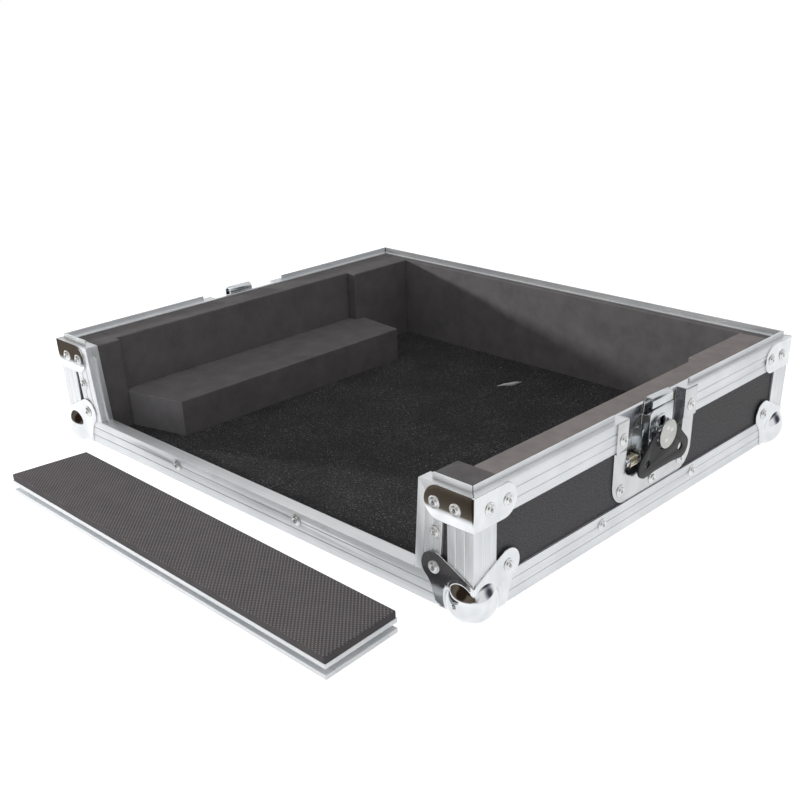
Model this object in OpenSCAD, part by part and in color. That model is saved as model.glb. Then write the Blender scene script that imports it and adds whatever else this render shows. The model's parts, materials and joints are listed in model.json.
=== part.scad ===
// Flight case tray for a mixer or controller, shown with its lid off and its
// tapered front panel lifted out and lying on the floor before it.
// Tray coordinates: x runs right along the front, y runs back from the front
// face, z runs up from the underside of the bottom rails.

/* [Tray] */
// Outside width of the tray
case_w = 544; // [460:1:700]
// Outside depth of the tray
case_d = 457; // [400:1:560]
// Height of the rim ledge above the underside
case_h = 100; // [94:1:130]
// Thickness of the laminated wall boards
board_t = 9; // [9:0.5:12]
// Thickness of the floor board
floor_t = 7; // [6:0.5:10]
// Thickness of the carpet
carpet_t = 1.4; // [1:0.2:4]

/* [Extrusions] */
// Metal thickness of the rails and angles
ext_t = 1.9; // [1.5:0.1:2]
// Width of the outer leg of rails and angles
rail_w = 25; // [22:0.5:27]
// Depth of the rim ledge outside the tongue
ledge_d = 5.2; // [4.5:0.1:5.5]
// Thickness of the rim tongue
tongue_t = 1.8; // [1.4:0.1:2]
// Height of the rim tongue above the ledge
tongue_h = 4.6; // [3.5:0.1:4.8]
// Length of the inner leg that grips the board
inner_leg = 12; // [8:0.5:16]
// Distance between the lengthwise grooves on a face
groove_gap = 8.5; // [6:0.5:10]
// Width of a lengthwise groove
groove_w = 0.8; // [0.4:0.1:1.2]
// Depth of a lengthwise groove
groove_d = 0.4; // [0.2:0.1:0.8]
// Height of the front sill
sill_h = 25; // [20:0.5:26]

/* [Front guides] */
// Distance from the side to the guide at the rim
guide_top = 52; // [50:0.5:70]
// Distance from the side to the guide at the sill
guide_foot = 58; // [50:0.5:80]
// Distance from the rim down to the top of the guide tongue
guide_tongue_drop = 10; // [6:0.5:16]
// Distance from the guide edge to the rim tongue beside it
rim_tongue_setback = 9; // [6:0.5:14]

/* [Foam lining] */
// Drop of the foam top below the rim ledge
foam_drop = 0.5; // [0:0.1:3]
// Thickness of the left foam strip
left_strip_t = 31; // [20:1:40]
// Width of the left front foam block
left_front_w = 39; // [34:1:50]
// Depth of the left front foam block
left_front_d = 26; // [20:1:40]
// Width of the left back foam block
left_back_w = 43; // [42:1:55]
// Distance from the front face to the left back foam block
left_back_y = 351; // [300:1:360]
// Thickness of the right foam strip
right_strip_t = 23; // [16:1:30]
// Width of the right front foam block
right_front_w = 38; // [32:1:50]
// Depth of the right front foam block
right_front_d = 28; // [20:1:40]
// Width of the right back foam block
right_back_w = 29; // [24:1:40]
// Distance from the front face to the right back foam block
right_back_y = 343; // [300:1:360]
// Thickness of the back foam liner
back_liner_t = 7.6; // [5:0.2:12]
// Height of the step block above the carpet
step_h = 36; // [25:1:50]
// Distance from the left side to the inner face of the step block
step_x = 118; // [90:1:150]
// Distance from the front face to the near corner of the step block
step_y = 56; // [50:1:80]
// Distance from the front face to the far corner of the step block
step_far_y = 356; // [353:1:362]
// How far the step block's far end runs on behind its inner corner
step_skew = 7; // [2:0.5:9]

/* [Corner hardware] */
// Thickness of the pressed steel hardware
steel_t = 1.2; // [1:0.1:1.5]
// Height of a corner brace
brace_h = 28; // [26:0.5:32]
// Length of a corner brace leaf
brace_len = 46; // [44:0.5:49]
// Radius of a ball corner
ball_r = 20; // [18:0.1:21]
// Distance from a case face in to the ball centre
ball_in = 11.6; // [10.6:0.1:12]
// Distance from the case corner to the wing rivet
wing_s = 37.5; // [36:0.5:42]
// Height of the wing rivet above the underside
wing_z = 32.5; // [31:0.5:34]
// Radius of the rounded end of a wing
wing_r = 13; // [11:0.5:14]
// Height at which the two wings of a ball corner meet
wing_vee = 28; // [26:0.5:30]
// Angle below level at which a wing's round end turns into its hollow edge, in degrees
wing_stop = -40; // [-50:1:-30]

/* [Rivets] */
// Radius of a rivet flange
rivet_r = 5.25; // [4:0.25:5.5]
// Height of a rivet head
rivet_h = 2.2; // [1.6:0.1:2.6]
// Radius of a rivet shank
shank_r = 2.4; // [1.6:0.1:2.8]
// Length of a rivet shank below the tray face
shank_len = 7; // [5:0.5:8]
// Radial clearance of a rivet shank in its hole
shank_gap = 0.05; // [0.02:0.01:0.1]
// Distance from the case corner to the first brace rivet
brace_rivet_a = 16; // [14:0.5:18]
// Distance from the case corner to the second brace rivet
brace_rivet_b = 36; // [33:0.5:38]
// Distance from the side to the guide rivet
guide_rivet_s = 37; // [35:0.5:40]
// Height of the guide rivet above the underside
guide_rivet_z = 61; // [58:1:64]
// Height of the rail rivets above the underside
rail_rivet_z = 17; // [12:0.5:18]
// Distance from the front corner to the first side rail rivet
side_rivet_s = 158; // [120:1:165]
// Distance between the two side rail rivets
side_rivet_gap = 137; // [100:1:150]
// Distance from the left corner to the first front rail rivet
front_rivet_s = 183; // [100:1:220]
// Distance between the two front rail rivets
front_rivet_gap = 167; // [100:1:200]

/* [Latch dish] */
// Width of the latch dish flange
dish_w = 118; // [112:1:124]
// Width of the latch pocket
pocket_w = 84; // [82:0.5:88]
// Gap between the latch dish and the inner leg of the rail
dish_gap = 0.1; // [0.05:0.05:0.4]
// Distance of the dish's middle behind the middle of the side
latch_shift = 1; // [-10:0.5:10]
// Distance from the rim ledge down to the pocket floor
pocket_drop = 52; // [50:0.5:56]
// Corner radius of the pocket
pocket_r = 8; // [4:0.5:10]
// Corner radius of the dish flange
dish_r = 20; // [12:0.5:22]
// How far the rim tongue runs in behind each end of the dish
tongue_under = 4; // [2:0.5:8]
// Distance from the dish's middle to each of its rivets in the rail
dish_rivet_s = 50; // [48:0.5:52]
// Distance from the rim ledge down to the dish's rivets in the rail
dish_rivet_drop = 15.5; // [13:0.5:17]
// Distance from the dish's middle to the lower rivet nearer the front on the right
dish_foot_a = 47; // [44:0.5:49]
// Distance from the dish's middle to the lower rivet at its other end
dish_foot_b = 43; // [42:0.5:49]
// Height of the first lower rivet above the underside
dish_foot_a_z = 38; // [36:0.5:44]
// Height of the lower rivet at the other end above the underside
dish_foot_b_z = 37; // [36:0.5:44]
// Height of the middle lower rivet above the underside
dish_foot_z = 33; // [31.5:0.5:37]

/* [Latch mechanism] */
// Distance of the hub axis behind the middle of the dish
hub_s = 5.5; // [4:0.5:6]
// Distance from the rim ledge down to the hub axis
hub_drop = 26.6; // [25:0.2:28]
// Radius of the hub shaft in the guide plate
hub_shaft_r = 5; // [4:0.1:6]
// Radius of the hub tail in the dish
hub_tail_r = 3; // [2:0.1:3.6]
// Radial clearance of the hub and the handle pin
running_gap = 0.05; // [0.02:0.01:0.08]
// Radius of the hub block behind the handle
hub_block_r = 7; // [6.4:0.1:8]
// Radius of the round hub cap
hub_cap_r = 12.3; // [11:0.1:12.6]
// Thickness of the round hub cap
hub_cap_t = 1.2; // [0.8:0.1:1.6]
// Distance of the cap face in front of the tray face
hub_proud = 8.2; // [8:0.1:9]
// Width of the hook plate
hook_w = 30; // [24:0.5:32]
// Height of the hook top above the rim ledge
hook_rise = 7; // [4:0.2:8]
// Length of the hook lip below the roll
hook_lip = 4.6; // [3:0.2:5]
// Thickness of the pressed latch plates
plate_t = 1.6; // [1.2:0.1:1.8]
// Distance of the handle face in front of the tray face
handle_proud = 5.9; // [5.6:0.1:6]
// Thickness of the butterfly handle
handle_t = 1.8; // [1.4:0.1:1.9]
// Half width of the butterfly handle
handle_half = 37.5; // [34:0.5:38]
// Distance from the hub axis down to the handle's lower edge
handle_drop = 31; // [29:0.5:32]
// Distance from the hub axis to each finger hole
finger_s = 24.6; // [22:0.2:26]
// Drop of the finger holes below the hub axis
finger_z = 19.6; // [18:0.2:21]
// Radius of a finger hole
finger_r = 3.5; // [3.2:0.1:4]
// Radius of the notch round the hub cap
notch_r = 13.6; // [13.4:0.1:14]
// Radius of the lobes of the handle
lobe_r = 10; // [8:0.5:11]
// Offset of the cam from the hub axis, half the hook's travel
cam_off = 4.5; // [3:0.1:4.5]
// Radius of the cam
cam_r = 8.5; // [8.2:0.1:8.8]
// Radius of the handle pin
pin_r = 1.2; // [1:0.1:1.4]
// Height of the handle pin above the hub axis
pin_rise = 4.5; // [4:0.1:5]
// Half length of the handle pin
pin_half = 17; // [16.6:0.1:18]

// Distance from the dish's middle to the bracket's ear
ear_shift = 21.2; // [20:0.2:22]
// Height of the bracket's ear above the hub axis
ear_rise = 9.6; // [8:0.2:12]
// How far the bracket's ear reaches below the hub axis
ear_reach = 8; // [7:0.2:9]

/* [Latch spring] */
// Height of the spring's post above the pocket floor
post_rise = 9.5; // [8.5:0.5:10.5]
// Number of curls of the handle spring
spring_curls = 5; // [3:1:6]
// Wire radius of the handle spring
spring_wire_r = 0.6; // [0.4:0.05:0.7]
// Distance between the curls of the handle spring
spring_pitch = 2.2; // [2:0.1:2.6]
// Mean radius of the handle spring
spring_r = 4.2; // [3.8:0.1:4.3]

/* [Front panel] */
// Clearance between the panel frame and a guide
panel_gap = 0.5; // [0.2:0.1:1.5]
// Clearance between the panel's lower edge and the sill
panel_seat = 0.5; // [0.2:0.1:1.5]
// Depth of the groove in the panel frame
panel_groove_d = 7.5; // [6:0.1:8]
// Width of the groove in the panel frame
panel_groove_w = 5; // [4.6:0.1:6]
// Face width of the panel frame
panel_rail_w = 22; // [18:0.5:25]
// Thickness of the foam on the panel
panel_foam_t = 6.2; // [4:0.1:10]
// Distance from the tray's front face to the lying panel's far edge
panel_out = 34; // [24:1:80]
// How far the lying panel is shifted to the right of the tray's middle
panel_shift = 17; // [-40:1:40]
// Turn of the lying panel seen from above, in degrees
panel_turn = -0.8; // [-3:0.1:3]

/* [Hidden] */
$fn = 48;
wall_t = board_t + 2 * ext_t;
floor_top = ext_t + floor_t;
carpet_top = floor_top + carpet_t;
foam_top = case_h - foam_drop;
board_top = case_h - ext_t;
leg_low = case_h - rail_w;
inner_face = wall_t - ext_t;
liner_y = case_d - wall_t - back_liner_t;
brace_z = case_h - brace_h;
brace_rivet_z = case_h - brace_h / 2;
ball_low = ball_in - ball_r;
shank_hole = shank_r + shank_gap;
cut = 1;
tiny = 0.3;

latch_s = case_d / 2 + latch_shift;
pocket_d = inner_face - dish_gap - steel_t;
pocket_back = pocket_d + steel_t;
pocket_a = latch_s - pocket_w / 2;
pocket_b = latch_s + pocket_w / 2;
dish_a = latch_s - dish_w / 2;
dish_b = latch_s + dish_w / 2;
dish_low = rail_w + tiny;
dish_seat = ext_t - steel_t;
ear_low = leg_low - steel_t;

pocket_z = case_h - pocket_drop;
hub_x = latch_s + hub_s;
hub_z = case_h - hub_drop;
hook_travel = 2 * cam_off;
slot_r = hub_shaft_r + 0.15;
tail_slot_r = hub_tail_r + 0.15;
plate_half = hook_w / 2 + 2;
plate_front = -0.4;
plate_back = plate_front + plate_t;
rim_front = plate_front - 0.8;
slide_low = pocket_z + hook_travel + 1;
hook_back = pocket_d - 0.2;
hook_front = hook_back - plate_t;
roll_r = (hook_back - plate_front) / 2;
roll_u = (hook_back + plate_front) / 2;
hook_top = case_h + hook_rise;
roll_z = hook_top - roll_r;
lip_low = roll_z - hook_lip;
plate_top = lip_low - 1.6;
plate_bevel = 4;
cam_near = plate_back + 1.2;
cam_far = hook_front - 1.4;
rib_gap = 1.2;
rib_half = 10;
handle_back = handle_t - handle_proud;
pin_u = handle_t / 2 - handle_proud;
pin_z = hub_z + pin_rise;
pin_hole = pin_r + running_gap;
barrel_r = pin_r + 1;
barrel_in = hub_cap_r + 0.9;
barrel_out = pin_half + 1.2;
arm_half = barrel_out + 1.2;
cap_back = hub_cap_t - hub_proud;
ear_s = latch_s - ear_shift;
ear_top = hub_z + ear_rise;
ear_foot = hub_z - ear_reach;
ear_front = 0.2;
post_r = spring_r - spring_wire_r - tiny;
post_u = pocket_d / 2 - 0.4;
tab_front = post_u - post_r;
post_z = pocket_z + post_rise;
post_a = pocket_a + 3;
spring_a = ear_s - tiny - spring_wire_r - spring_curls * spring_pitch - 2;

lean = atan((guide_foot - guide_top) / (case_h - sill_h));
flange_run = rail_w / cos(lean);
panel_low_z = sill_h + panel_seat;
panel_h = case_h - panel_low_z;
panel_near_half = case_w / 2 - guide_top - panel_gap;
panel_far_half = case_w / 2 - lip(panel_low_z) - panel_gap;
panel_lip = (wall_t - panel_groove_w) / 2;
panel_web = panel_groove_d + ext_t;
panel_inner = panel_web + 5;

alloy = [0.82, 0.83, 0.85];
steel = [0.70, 0.71, 0.74];
zinc = [0.62, 0.64, 0.67];
laminate = [0.16, 0.16, 0.17];
foam_grey = [0.30, 0.29, 0.29];
black = [0.10, 0.10, 0.11];

// Distance from the side to the edge of the leaning guide at a height
function lip(z) = guide_top + (guide_foot - guide_top) * (case_h - z) / (case_h - sill_h);

// Length of a face, counted front, right, back, left
function face_len(k) = k % 2 == 0 ? case_w : case_d;

// Points of an arc, from one angle to another
function arc(cx, cy, r, from, to, steps = 12) =
    [for (i = [0:steps]) let (a = from + (to - from) * i / steps) [cx + r * cos(a), cy + r * sin(a)]];

// Points of a curve that leaves its first point towards the second and ends at the third
function curve(a, b, c, steps = 6) =
    [for (i = [1:steps]) let (t = i / steps) (1 - t) * (1 - t) * a + 2 * t * (1 - t) * b + t * t * c];

// Three points of a groove across an outer face at a height, listed downwards
function groove(v) = [[0, v + groove_w / 2], [groove_d, v], [0, v - groove_w / 2]];

// The middle of the carpet's top is the origin of the finished tray
module placed() translate([-case_w / 2, -case_d / 2, -carpet_top]) children();

// Local axes on a face: s along it, then depth into the tray, then height
module on_face(k) {
    corner = [[0, 0], [case_w, 0], [case_w, case_d], [0, case_d]][k];
    translate([corner[0], corner[1], 0]) rotate([0, 0, 90 * k]) children();
}

// Local axes at the corner where a face ends, with s below zero on that face
module at_corner(k) on_face(k) translate([face_len(k), 0, 0]) children();

// The same shape at the right of the front as at the left
module on_right() translate([case_w, 0, 0]) mirror([1, 0, 0]) children();

// A bar along s with its section in depth and height
module bar(len, section) rotate([90, 0, 90]) linear_extrude(len) polygon(section);

// A plate with its outline in s and height, between two depths
module elevation(points, near, far)
    translate([0, far, 0]) rotate([90, 0, 0]) linear_extrude(far - near) polygon(points);

// A round through the wall's thickness, between two depths
module round_in(s, z, r, near, far)
    translate([s, far, z]) rotate([90, 0, 0]) cylinder(r = r, h = far - near);

// A round along s at a depth and height
module round_along(from, to, u, z, r)
    translate([from, u, z]) rotate([0, 90, 0]) cylinder(r = r, h = to - from);

// Everything of a bar but what its two 45 degree mitres take off
module mitred(len, depth)
    intersection() {
        children();
        translate([0, 0, -case_h]) linear_extrude(3 * case_h)
            polygon([[0, 0], [len, 0], [len - depth, depth], [depth, depth]]);
    }

// A block with rounded lower corners, between two depths
module pocket_block(a, b, low, high, r, near, far) {
    translate([a + r, near, low]) cube([b - a - 2 * r, far - near, high - low]);
    translate([a, near, low + r]) cube([b - a, far - near, high - low - r]);
    for (s = [a + r, b - r]) round_in(s, low + r, r, near, far);
}

// A slot that two rounds and the space between them make, between two depths
module slot_in(s, z, r, rise, near, far) {
    for (h = [z, z + rise]) round_in(s, h, r, near, far);
    translate([s - r, near, z]) cube([2 * r, far - near, rise]);
}

// Rivet places are [distance along the face, height, lift of the seat off the face]
function corner_rivets(len) = concat(
    [for (s = [brace_rivet_a, brace_rivet_b, len - brace_rivet_b, len - brace_rivet_a])
        [s, brace_rivet_z, steel_t]],
    [for (s = [wing_s, len - wing_s]) [s, wing_z, steel_t]]
);

function rail_rivets(k) =
    let (first = k % 2 == 0 ? front_rivet_s : side_rivet_s,
         gap = k % 2 == 0 ? front_rivet_gap : side_rivet_gap)
    [for (i = [0, 1])
        let (s = first + i * gap)
        [k < 2 ? s : face_len(k) - s, rail_rivet_z, 0]];

guide_rivets = [for (s = [guide_rivet_s, case_w - guide_rivet_s]) [s, guide_rivet_z, 0]];

dish_rivets = concat(
    [for (side = [-1, 1]) [latch_s + side * dish_rivet_s, case_h - dish_rivet_drop, steel_t]],
    [[latch_s - dish_foot_a, dish_foot_a_z, -dish_seat],
     [latch_s, dish_foot_z, -dish_seat],
     [latch_s + dish_foot_b, dish_foot_b_z, -dish_seat]]
);

function face_rivets(k) = concat(
    corner_rivets(face_len(k)),
    rail_rivets(k),
    k == 0 ? guide_rivets : [],
    k % 2 == 1 ? dish_rivets : []
);

// Holes of one face's rivets
module rivet_holes(k)
    for (p = face_rivets(k)) round_in(p[0], p[1], shank_hole, -steel_t - cut, shank_len + tiny);

// Domed rivet with a flat flange and a pierced middle
module rivet(lift) {
    pierce_r = 0.9;
    flat_r = 1.5;
    ring_h = 0.7;
    dome_r = rivet_r - 1.9;
    dome = [for (i = [0:5]) let (a = 18 * i)
        [flat_r + (dome_r - flat_r) * cos(a), ring_h + (rivet_h - ring_h) * sin(a)]];
    translate([0, -lift, 0]) rotate([90, 0, 0]) rotate_extrude() polygon(concat(
        [[0, -lift - shank_len], [shank_r, -lift - shank_len], [shank_r, 0],
         [rivet_r, 0], [rivet_r, ring_h - 0.2], [rivet_r - 0.2, ring_h]],
        dome,
        [[pierce_r, rivet_h], [pierce_r, rivet_h - 0.6], [0, rivet_h - 0.6]]
    ));
}

module rivets() color(steel)
    for (k = [0:3]) on_face(k) for (p = face_rivets(k)) translate([p[0], 0, p[1]]) rivet(p[2]);

// Boards of the tray
module floor_board() color(laminate)
    translate([ext_t, ext_t, ext_t]) cube([case_w - 2 * ext_t, case_d - 2 * ext_t, floor_t]);

// A side board with the window for its latch dish, on face 1 or 3
module side_board(k) color(laminate) on_face(k) difference() {
    gap = steel_t + tiny;
    translate([ext_t, ext_t, floor_top]) cube([case_d - 2 * ext_t, board_t, board_top - floor_top]);
    pocket_block(pocket_a - gap, pocket_b + gap, pocket_z - gap, case_h, pocket_r + gap,
        0, wall_t);
    rivet_holes(k);
}

module left_wall_board() side_board(3);
module right_wall_board() side_board(1);

module back_wall_board() color(laminate) on_face(2) difference() {
    translate([inner_face, ext_t, floor_top])
        cube([case_w - 2 * inner_face, board_t, board_top - floor_top]);
    rivet_holes(2);
}

// The short board beside the front opening, cut to the lean of its guide
module front_stub_board() color(laminate) difference() {
    web = ext_t / cos(lean);
    elevation([[inner_face, sill_h], [lip(sill_h) - web, sill_h],
               [lip(board_top) - web, board_top], [inner_face, board_top]], ext_t, inner_face);
    rivet_holes(0);
}

module front_left_board() front_stub_board();
module front_right_board() on_right() front_stub_board();

module sill_board() color(laminate) difference() {
    translate([inner_face, ext_t, floor_top])
        cube([case_w - 2 * inner_face, board_t, sill_h - ext_t - floor_top]);
    rivet_holes(0);
}

left_front_end = wall_t + left_front_d;
right_front_end = wall_t + right_front_d;

// Outline of a carpet cut to fit between the foam pieces, from the front left corner round
carpet_outline = [
    [wall_t + left_front_w, wall_t],
    [case_w - wall_t - right_front_w, wall_t],
    [case_w - wall_t - right_front_w, right_front_end],
    [case_w - wall_t - right_strip_t, right_front_end],
    [case_w - wall_t - right_strip_t, right_back_y],
    [case_w - wall_t - right_back_w, right_back_y],
    [case_w - wall_t - right_back_w, liner_y],
    [wall_t + left_back_w, liner_y],
    [wall_t + left_back_w, step_far_y + step_skew],
    [step_x, step_far_y],
    [step_x, step_y],
    [wall_t + left_front_w, left_front_end]
];

module carpet() color(black)
    translate([0, 0, floor_top]) linear_extrude(carpet_t) polygon(carpet_outline);

// A foam block standing on the floor board up to the foam top
module foam_block(x, y, w, d) color(foam_grey)
    translate([x, y, floor_top]) cube([w, d, foam_top - floor_top]);

module left_foam_strip()
    foam_block(wall_t, left_front_end, left_strip_t, left_back_y - left_front_end);
module left_front_foam() foam_block(wall_t, wall_t, left_front_w, left_front_d);
module left_back_foam() foam_block(wall_t, left_back_y, left_back_w, liner_y - left_back_y);
module right_foam_strip()
    foam_block(case_w - wall_t - right_strip_t, right_front_end, right_strip_t,
        right_back_y - right_front_end);
module right_front_foam()
    foam_block(case_w - wall_t - right_front_w, wall_t, right_front_w, right_front_d);
module right_back_foam()
    foam_block(case_w - wall_t - right_back_w, right_back_y, right_back_w, liner_y - right_back_y);
module back_foam_liner() foam_block(wall_t, liner_y, case_w - 2 * wall_t, back_liner_t);

// The low block along the left strip, with skew cut ends
module step_foam() color(foam_grey)
    translate([0, 0, floor_top]) linear_extrude(carpet_t + step_h) polygon([
        [wall_t + left_strip_t, left_front_end],
        [wall_t + left_front_w, left_front_end],
        [step_x, step_y],
        [step_x, step_far_y],
        [wall_t + left_back_w, step_far_y + step_skew],
        [wall_t + left_back_w, left_back_y],
        [wall_t + left_strip_t, left_back_y]
    ]);

// Rails
angle_section = concat(
    [[0, 0], [rail_w, 0], [rail_w, ext_t], [ext_t, ext_t], [ext_t, rail_w], [0, rail_w]],
    groove(2 * groove_gap), groove(groove_gap)
);

// Rim rail: outer leg, ledge, tongue and inner leg, measured down from the ledge
rim_section = concat(
    [[0, 0]], groove(-groove_gap), groove(-2 * groove_gap),
    [[0, -rail_w], [ext_t, -rail_w], [ext_t, -ext_t], [inner_face, -ext_t],
     [inner_face, -inner_leg], [wall_t, -inner_leg], [wall_t, 0],
     [ledge_d + tongue_t, 0], [ledge_d + tongue_t, tongue_h], [ledge_d, tongue_h], [ledge_d, 0]]
);

module bottom_rail(k) color(alloy) on_face(k) difference() {
    mitred(face_len(k), rail_w) bar(face_len(k), angle_section);
    rivet_holes(k);
}

module left_bottom_rail() bottom_rail(3);
module right_bottom_rail() bottom_rail(1);
module back_bottom_rail() bottom_rail(2);

// The sill is a bottom rail whose flat top and inner leg close over the sill board
module front_sill() color(alloy) difference() {
    union() {
        mitred(case_w, rail_w) bar(case_w, concat(
            [[0, 0], [rail_w, 0], [rail_w, ext_t], [ext_t, ext_t], [ext_t, sill_h], [0, sill_h]],
            groove(2 * groove_gap), groove(groove_gap)
        ));
        translate([inner_face, 0, 0]) bar(case_w - 2 * inner_face, [
            [ext_t - tiny, sill_h - ext_t], [inner_face, sill_h - ext_t], [inner_face, floor_top],
            [wall_t, floor_top], [wall_t, sill_h], [ext_t - tiny, sill_h]
        ]);
    }
    rivet_holes(0);
}

// Upright angle between the bottom rail and the rim rail of a corner
module corner_angle(k) color(alloy) at_corner(k)
    translate([0, 0, rail_w]) linear_extrude(leg_low - rail_w) polygon(concat(
        [[0, 0]],
        [for (g = [1, 2]) for (p = groove(-g * groove_gap)) [p[1], p[0]]],
        [[-rail_w, 0], [-rail_w, ext_t], [-ext_t, ext_t], [-ext_t, rail_w], [0, rail_w]],
        [for (g = [2, 1]) for (p = groove(g * groove_gap)) [-p[0], p[1]]]
    ));

module front_left_angle() corner_angle(3);
module front_right_angle() corner_angle(0);
module back_right_angle() corner_angle(1);
module back_left_angle() corner_angle(2);

module rim_bar(k)
    translate([0, 0, case_h]) mitred(face_len(k), wall_t) bar(face_len(k), rim_section);

// A side rim rail, notched down to its inner leg for the latch dish
module side_top_rail(k) color(alloy) on_face(k) difference() {
    gap = steel_t + tiny;
    rim_bar(k);
    translate([pocket_a - gap, -cut, leg_low - cut])
        cube([pocket_b - pocket_a + 2 * gap, inner_face + cut, rail_w + tongue_h + 2 * cut]);
    translate([dish_a + tongue_under, -cut, case_h])
        cube([dish_w - 2 * tongue_under, wall_t + 2 * cut, tongue_h + cut]);
    rivet_holes(k);
}

module left_top_rail() side_top_rail(3);
module right_top_rail() side_top_rail(1);

module back_top_rail() color(alloy) on_face(2) difference() {
    rim_bar(2);
    rivet_holes(2);
}

// The line of the mitre between a guide and the short rim rail over it
mitre_a = [lip(case_h), case_h];
mitre_b = [lip(leg_low) - flange_run, leg_low];
mitre_hi = mitre_a + (mitre_a - mitre_b);
mitre_lo = mitre_b - 2 * (mitre_a - mitre_b);

// What lies on the guide's side of that mitre, or on the rail's side
module guide_side() elevation([mitre_hi, mitre_lo, [mitre_hi[0], mitre_lo[1]]], -cut, wall_t + cut);
module rail_side() elevation([mitre_hi, mitre_lo, [mitre_lo[0], mitre_hi[1]]], -cut, wall_t + cut);

module stub_top_rail() color(alloy) difference() {
    intersection() {
        rim_bar(0);
        translate([0, -cut, 0]) cube([guide_top, wall_t + 2 * cut, case_h + tongue_h + cut]);
    }
    guide_side();
    translate([guide_top - rim_tongue_setback, -cut, case_h])
        cube([rim_tongue_setback + cut, wall_t + 2 * cut, tongue_h + cut]);
    rivet_holes(0);
}

module front_left_top_rail() stub_top_rail();
module front_right_top_rail() on_right() stub_top_rail();

// A leaning band along the guide's edge, from one distance off that edge to another
function guide_band(from, to, top = case_h) =
    [[lip(sill_h) + from, sill_h], [lip(sill_h) + to, sill_h], [lip(top) + to, top], [lip(top) + from, top]];

module guide() color(alloy) difference() {
    union() {
        elevation(guide_band(-flange_run, 0), 0, ext_t);
        elevation(guide_band(-ext_t / cos(lean), 0), 0, wall_t);
        elevation(guide_band(-inner_leg, 0), inner_face, wall_t);
        elevation(guide_band(-tiny, tongue_h, case_h - guide_tongue_drop), ledge_d, ledge_d + tongue_t);
    }
    difference() {
        rail_side();
        translate([guide_top, 0, 0]) cube([case_w, wall_t, case_h - guide_tongue_drop]);
    }
    for (g = [1, 2])
        elevation(guide_band(-g * groove_gap - groove_w / 2, -g * groove_gap + groove_w / 2),
            -cut, groove_d);
    rivet_holes(0);
}

module left_guide() guide();
module right_guide() on_right() guide();

// Outline of a ball corner's wing: along the vee, round the rivet and down to the ball
function wing_outline() =
    let (run = norm([wing_s, wing_z - wing_vee]),
         rise = atan2(wing_z - wing_vee, wing_s) + asin(wing_r / run),
         foot = [wing_s + wing_r * cos(wing_stop), wing_z + wing_r * sin(wing_stop)])
    concat(
        [[0, -steel_t], [0, wing_vee]],
        arc(wing_s, wing_z, wing_r, 90 + rise, wing_stop, 14),
        curve(foot, [wing_s + 1, foot[1] - 7], [wing_s - 1, -steel_t])
    );

module ball_corner(k) color(steel) at_corner(k) difference() {
    union() {
        elevation([for (p = wing_outline()) [-p[0], p[1]]], -steel_t, 0);
        rotate([0, 0, 90]) elevation(wing_outline(), -steel_t, 0);
        translate([0, -steel_t, -steel_t]) cube([steel_t, steel_t, wing_vee + steel_t]);
        translate([0, 0, -steel_t]) linear_extrude(steel_t) polygon(concat(
            [[0, 0], [1 - wing_s, 0]],
            curve([1 - wing_s, 0], [1 - wing_s, wing_s - 1], [0, wing_s - 1])
        ));
        difference() {
            translate([-ball_in, ball_in, ball_in]) sphere(r = ball_r);
            translate([-2 * ball_r, 0, 0]) cube(2 * ball_r);
        }
    }
    round_in(-wing_s, wing_z, shank_hole, -steel_t - cut, cut);
    rotate([0, 0, 90]) round_in(wing_s, wing_z, shank_hole, -steel_t - cut, cut);
}

module front_left_ball_corner() ball_corner(3);
module front_right_ball_corner() ball_corner(0);
module back_right_ball_corner() ball_corner(1);
module back_left_ball_corner() ball_corner(2);

// One leaf of a corner brace, round at its far end
module brace_leaf(side) {
    mid = brace_len - brace_h / 2;
    difference() {
        union() {
            translate([side < 0 ? -mid : 0, -steel_t, brace_z]) cube([mid, steel_t, brace_h]);
            round_in(side * mid, brace_rivet_z, brace_h / 2, -steel_t, 0);
        }
        for (s = [brace_rivet_a, brace_rivet_b])
            round_in(side * s, brace_rivet_z, shank_hole, -steel_t - cut, cut);
    }
}

module corner_brace(k) color(steel) at_corner(k) {
    brace_leaf(-1);
    rotate([0, 0, 90]) brace_leaf(1);
    translate([0, -steel_t, brace_z]) cube([steel_t, steel_t, brace_h]);
}

module front_left_brace() corner_brace(3);
module front_right_brace() corner_brace(0);
module back_right_brace() corner_brace(1);
module back_left_brace() corner_brace(2);

// Latch pieces, each on face 1 at the right or face 3 at the left

// Pressed dish: ears on the rail, a step under it, a flange on the board and the pocket
module latch_dish(k) color(steel) on_face(k) difference() {
    wall = steel_t;
    union() {
        for (a = [dish_a, pocket_b]) translate([a, -wall, ear_low]) {
            cube([pocket_a - dish_a, wall, case_h - foam_drop - ear_low]);
            cube([pocket_a - dish_a, wall + ext_t, wall]);
        }
        pocket_block(dish_a, dish_b, dish_low, leg_low, dish_r, dish_seat, ext_t);
        pocket_block(pocket_a - wall, pocket_b + wall, pocket_z - wall, case_h, pocket_r + wall,
            dish_seat, pocket_back);
        translate([pocket_a - wall, -wall, ear_low])
            cube([pocket_w + 2 * wall, pocket_back + wall, case_h - foam_drop - ear_low]);
    }
    pocket_block(pocket_a, pocket_b, pocket_z, case_h + cut, pocket_r, -wall - cut, pocket_d);
    round_in(hub_x, hub_z, hub_tail_r + running_gap, 0, pocket_back + cut);
    rivet_holes(k);
}

// Bracket inside the dish: an upright ear with its foot, and the post for the spring
module latch_bracket(k) color(zinc) on_face(k) {
    translate([ear_s, ear_front, ear_foot]) cube([plate_t, pocket_d - ear_front, ear_top - ear_foot]);
    translate([ear_s, pocket_d - plate_t, ear_foot]) cube([7, plate_t, ear_top - ear_foot]);
    translate([ear_s, tab_front, post_z - post_r])
        cube([plate_t, pocket_d - tab_front, ear_foot - post_z + post_r]);
    round_along(post_a, ear_s + plate_t, post_u, post_z, post_r);
}

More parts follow.
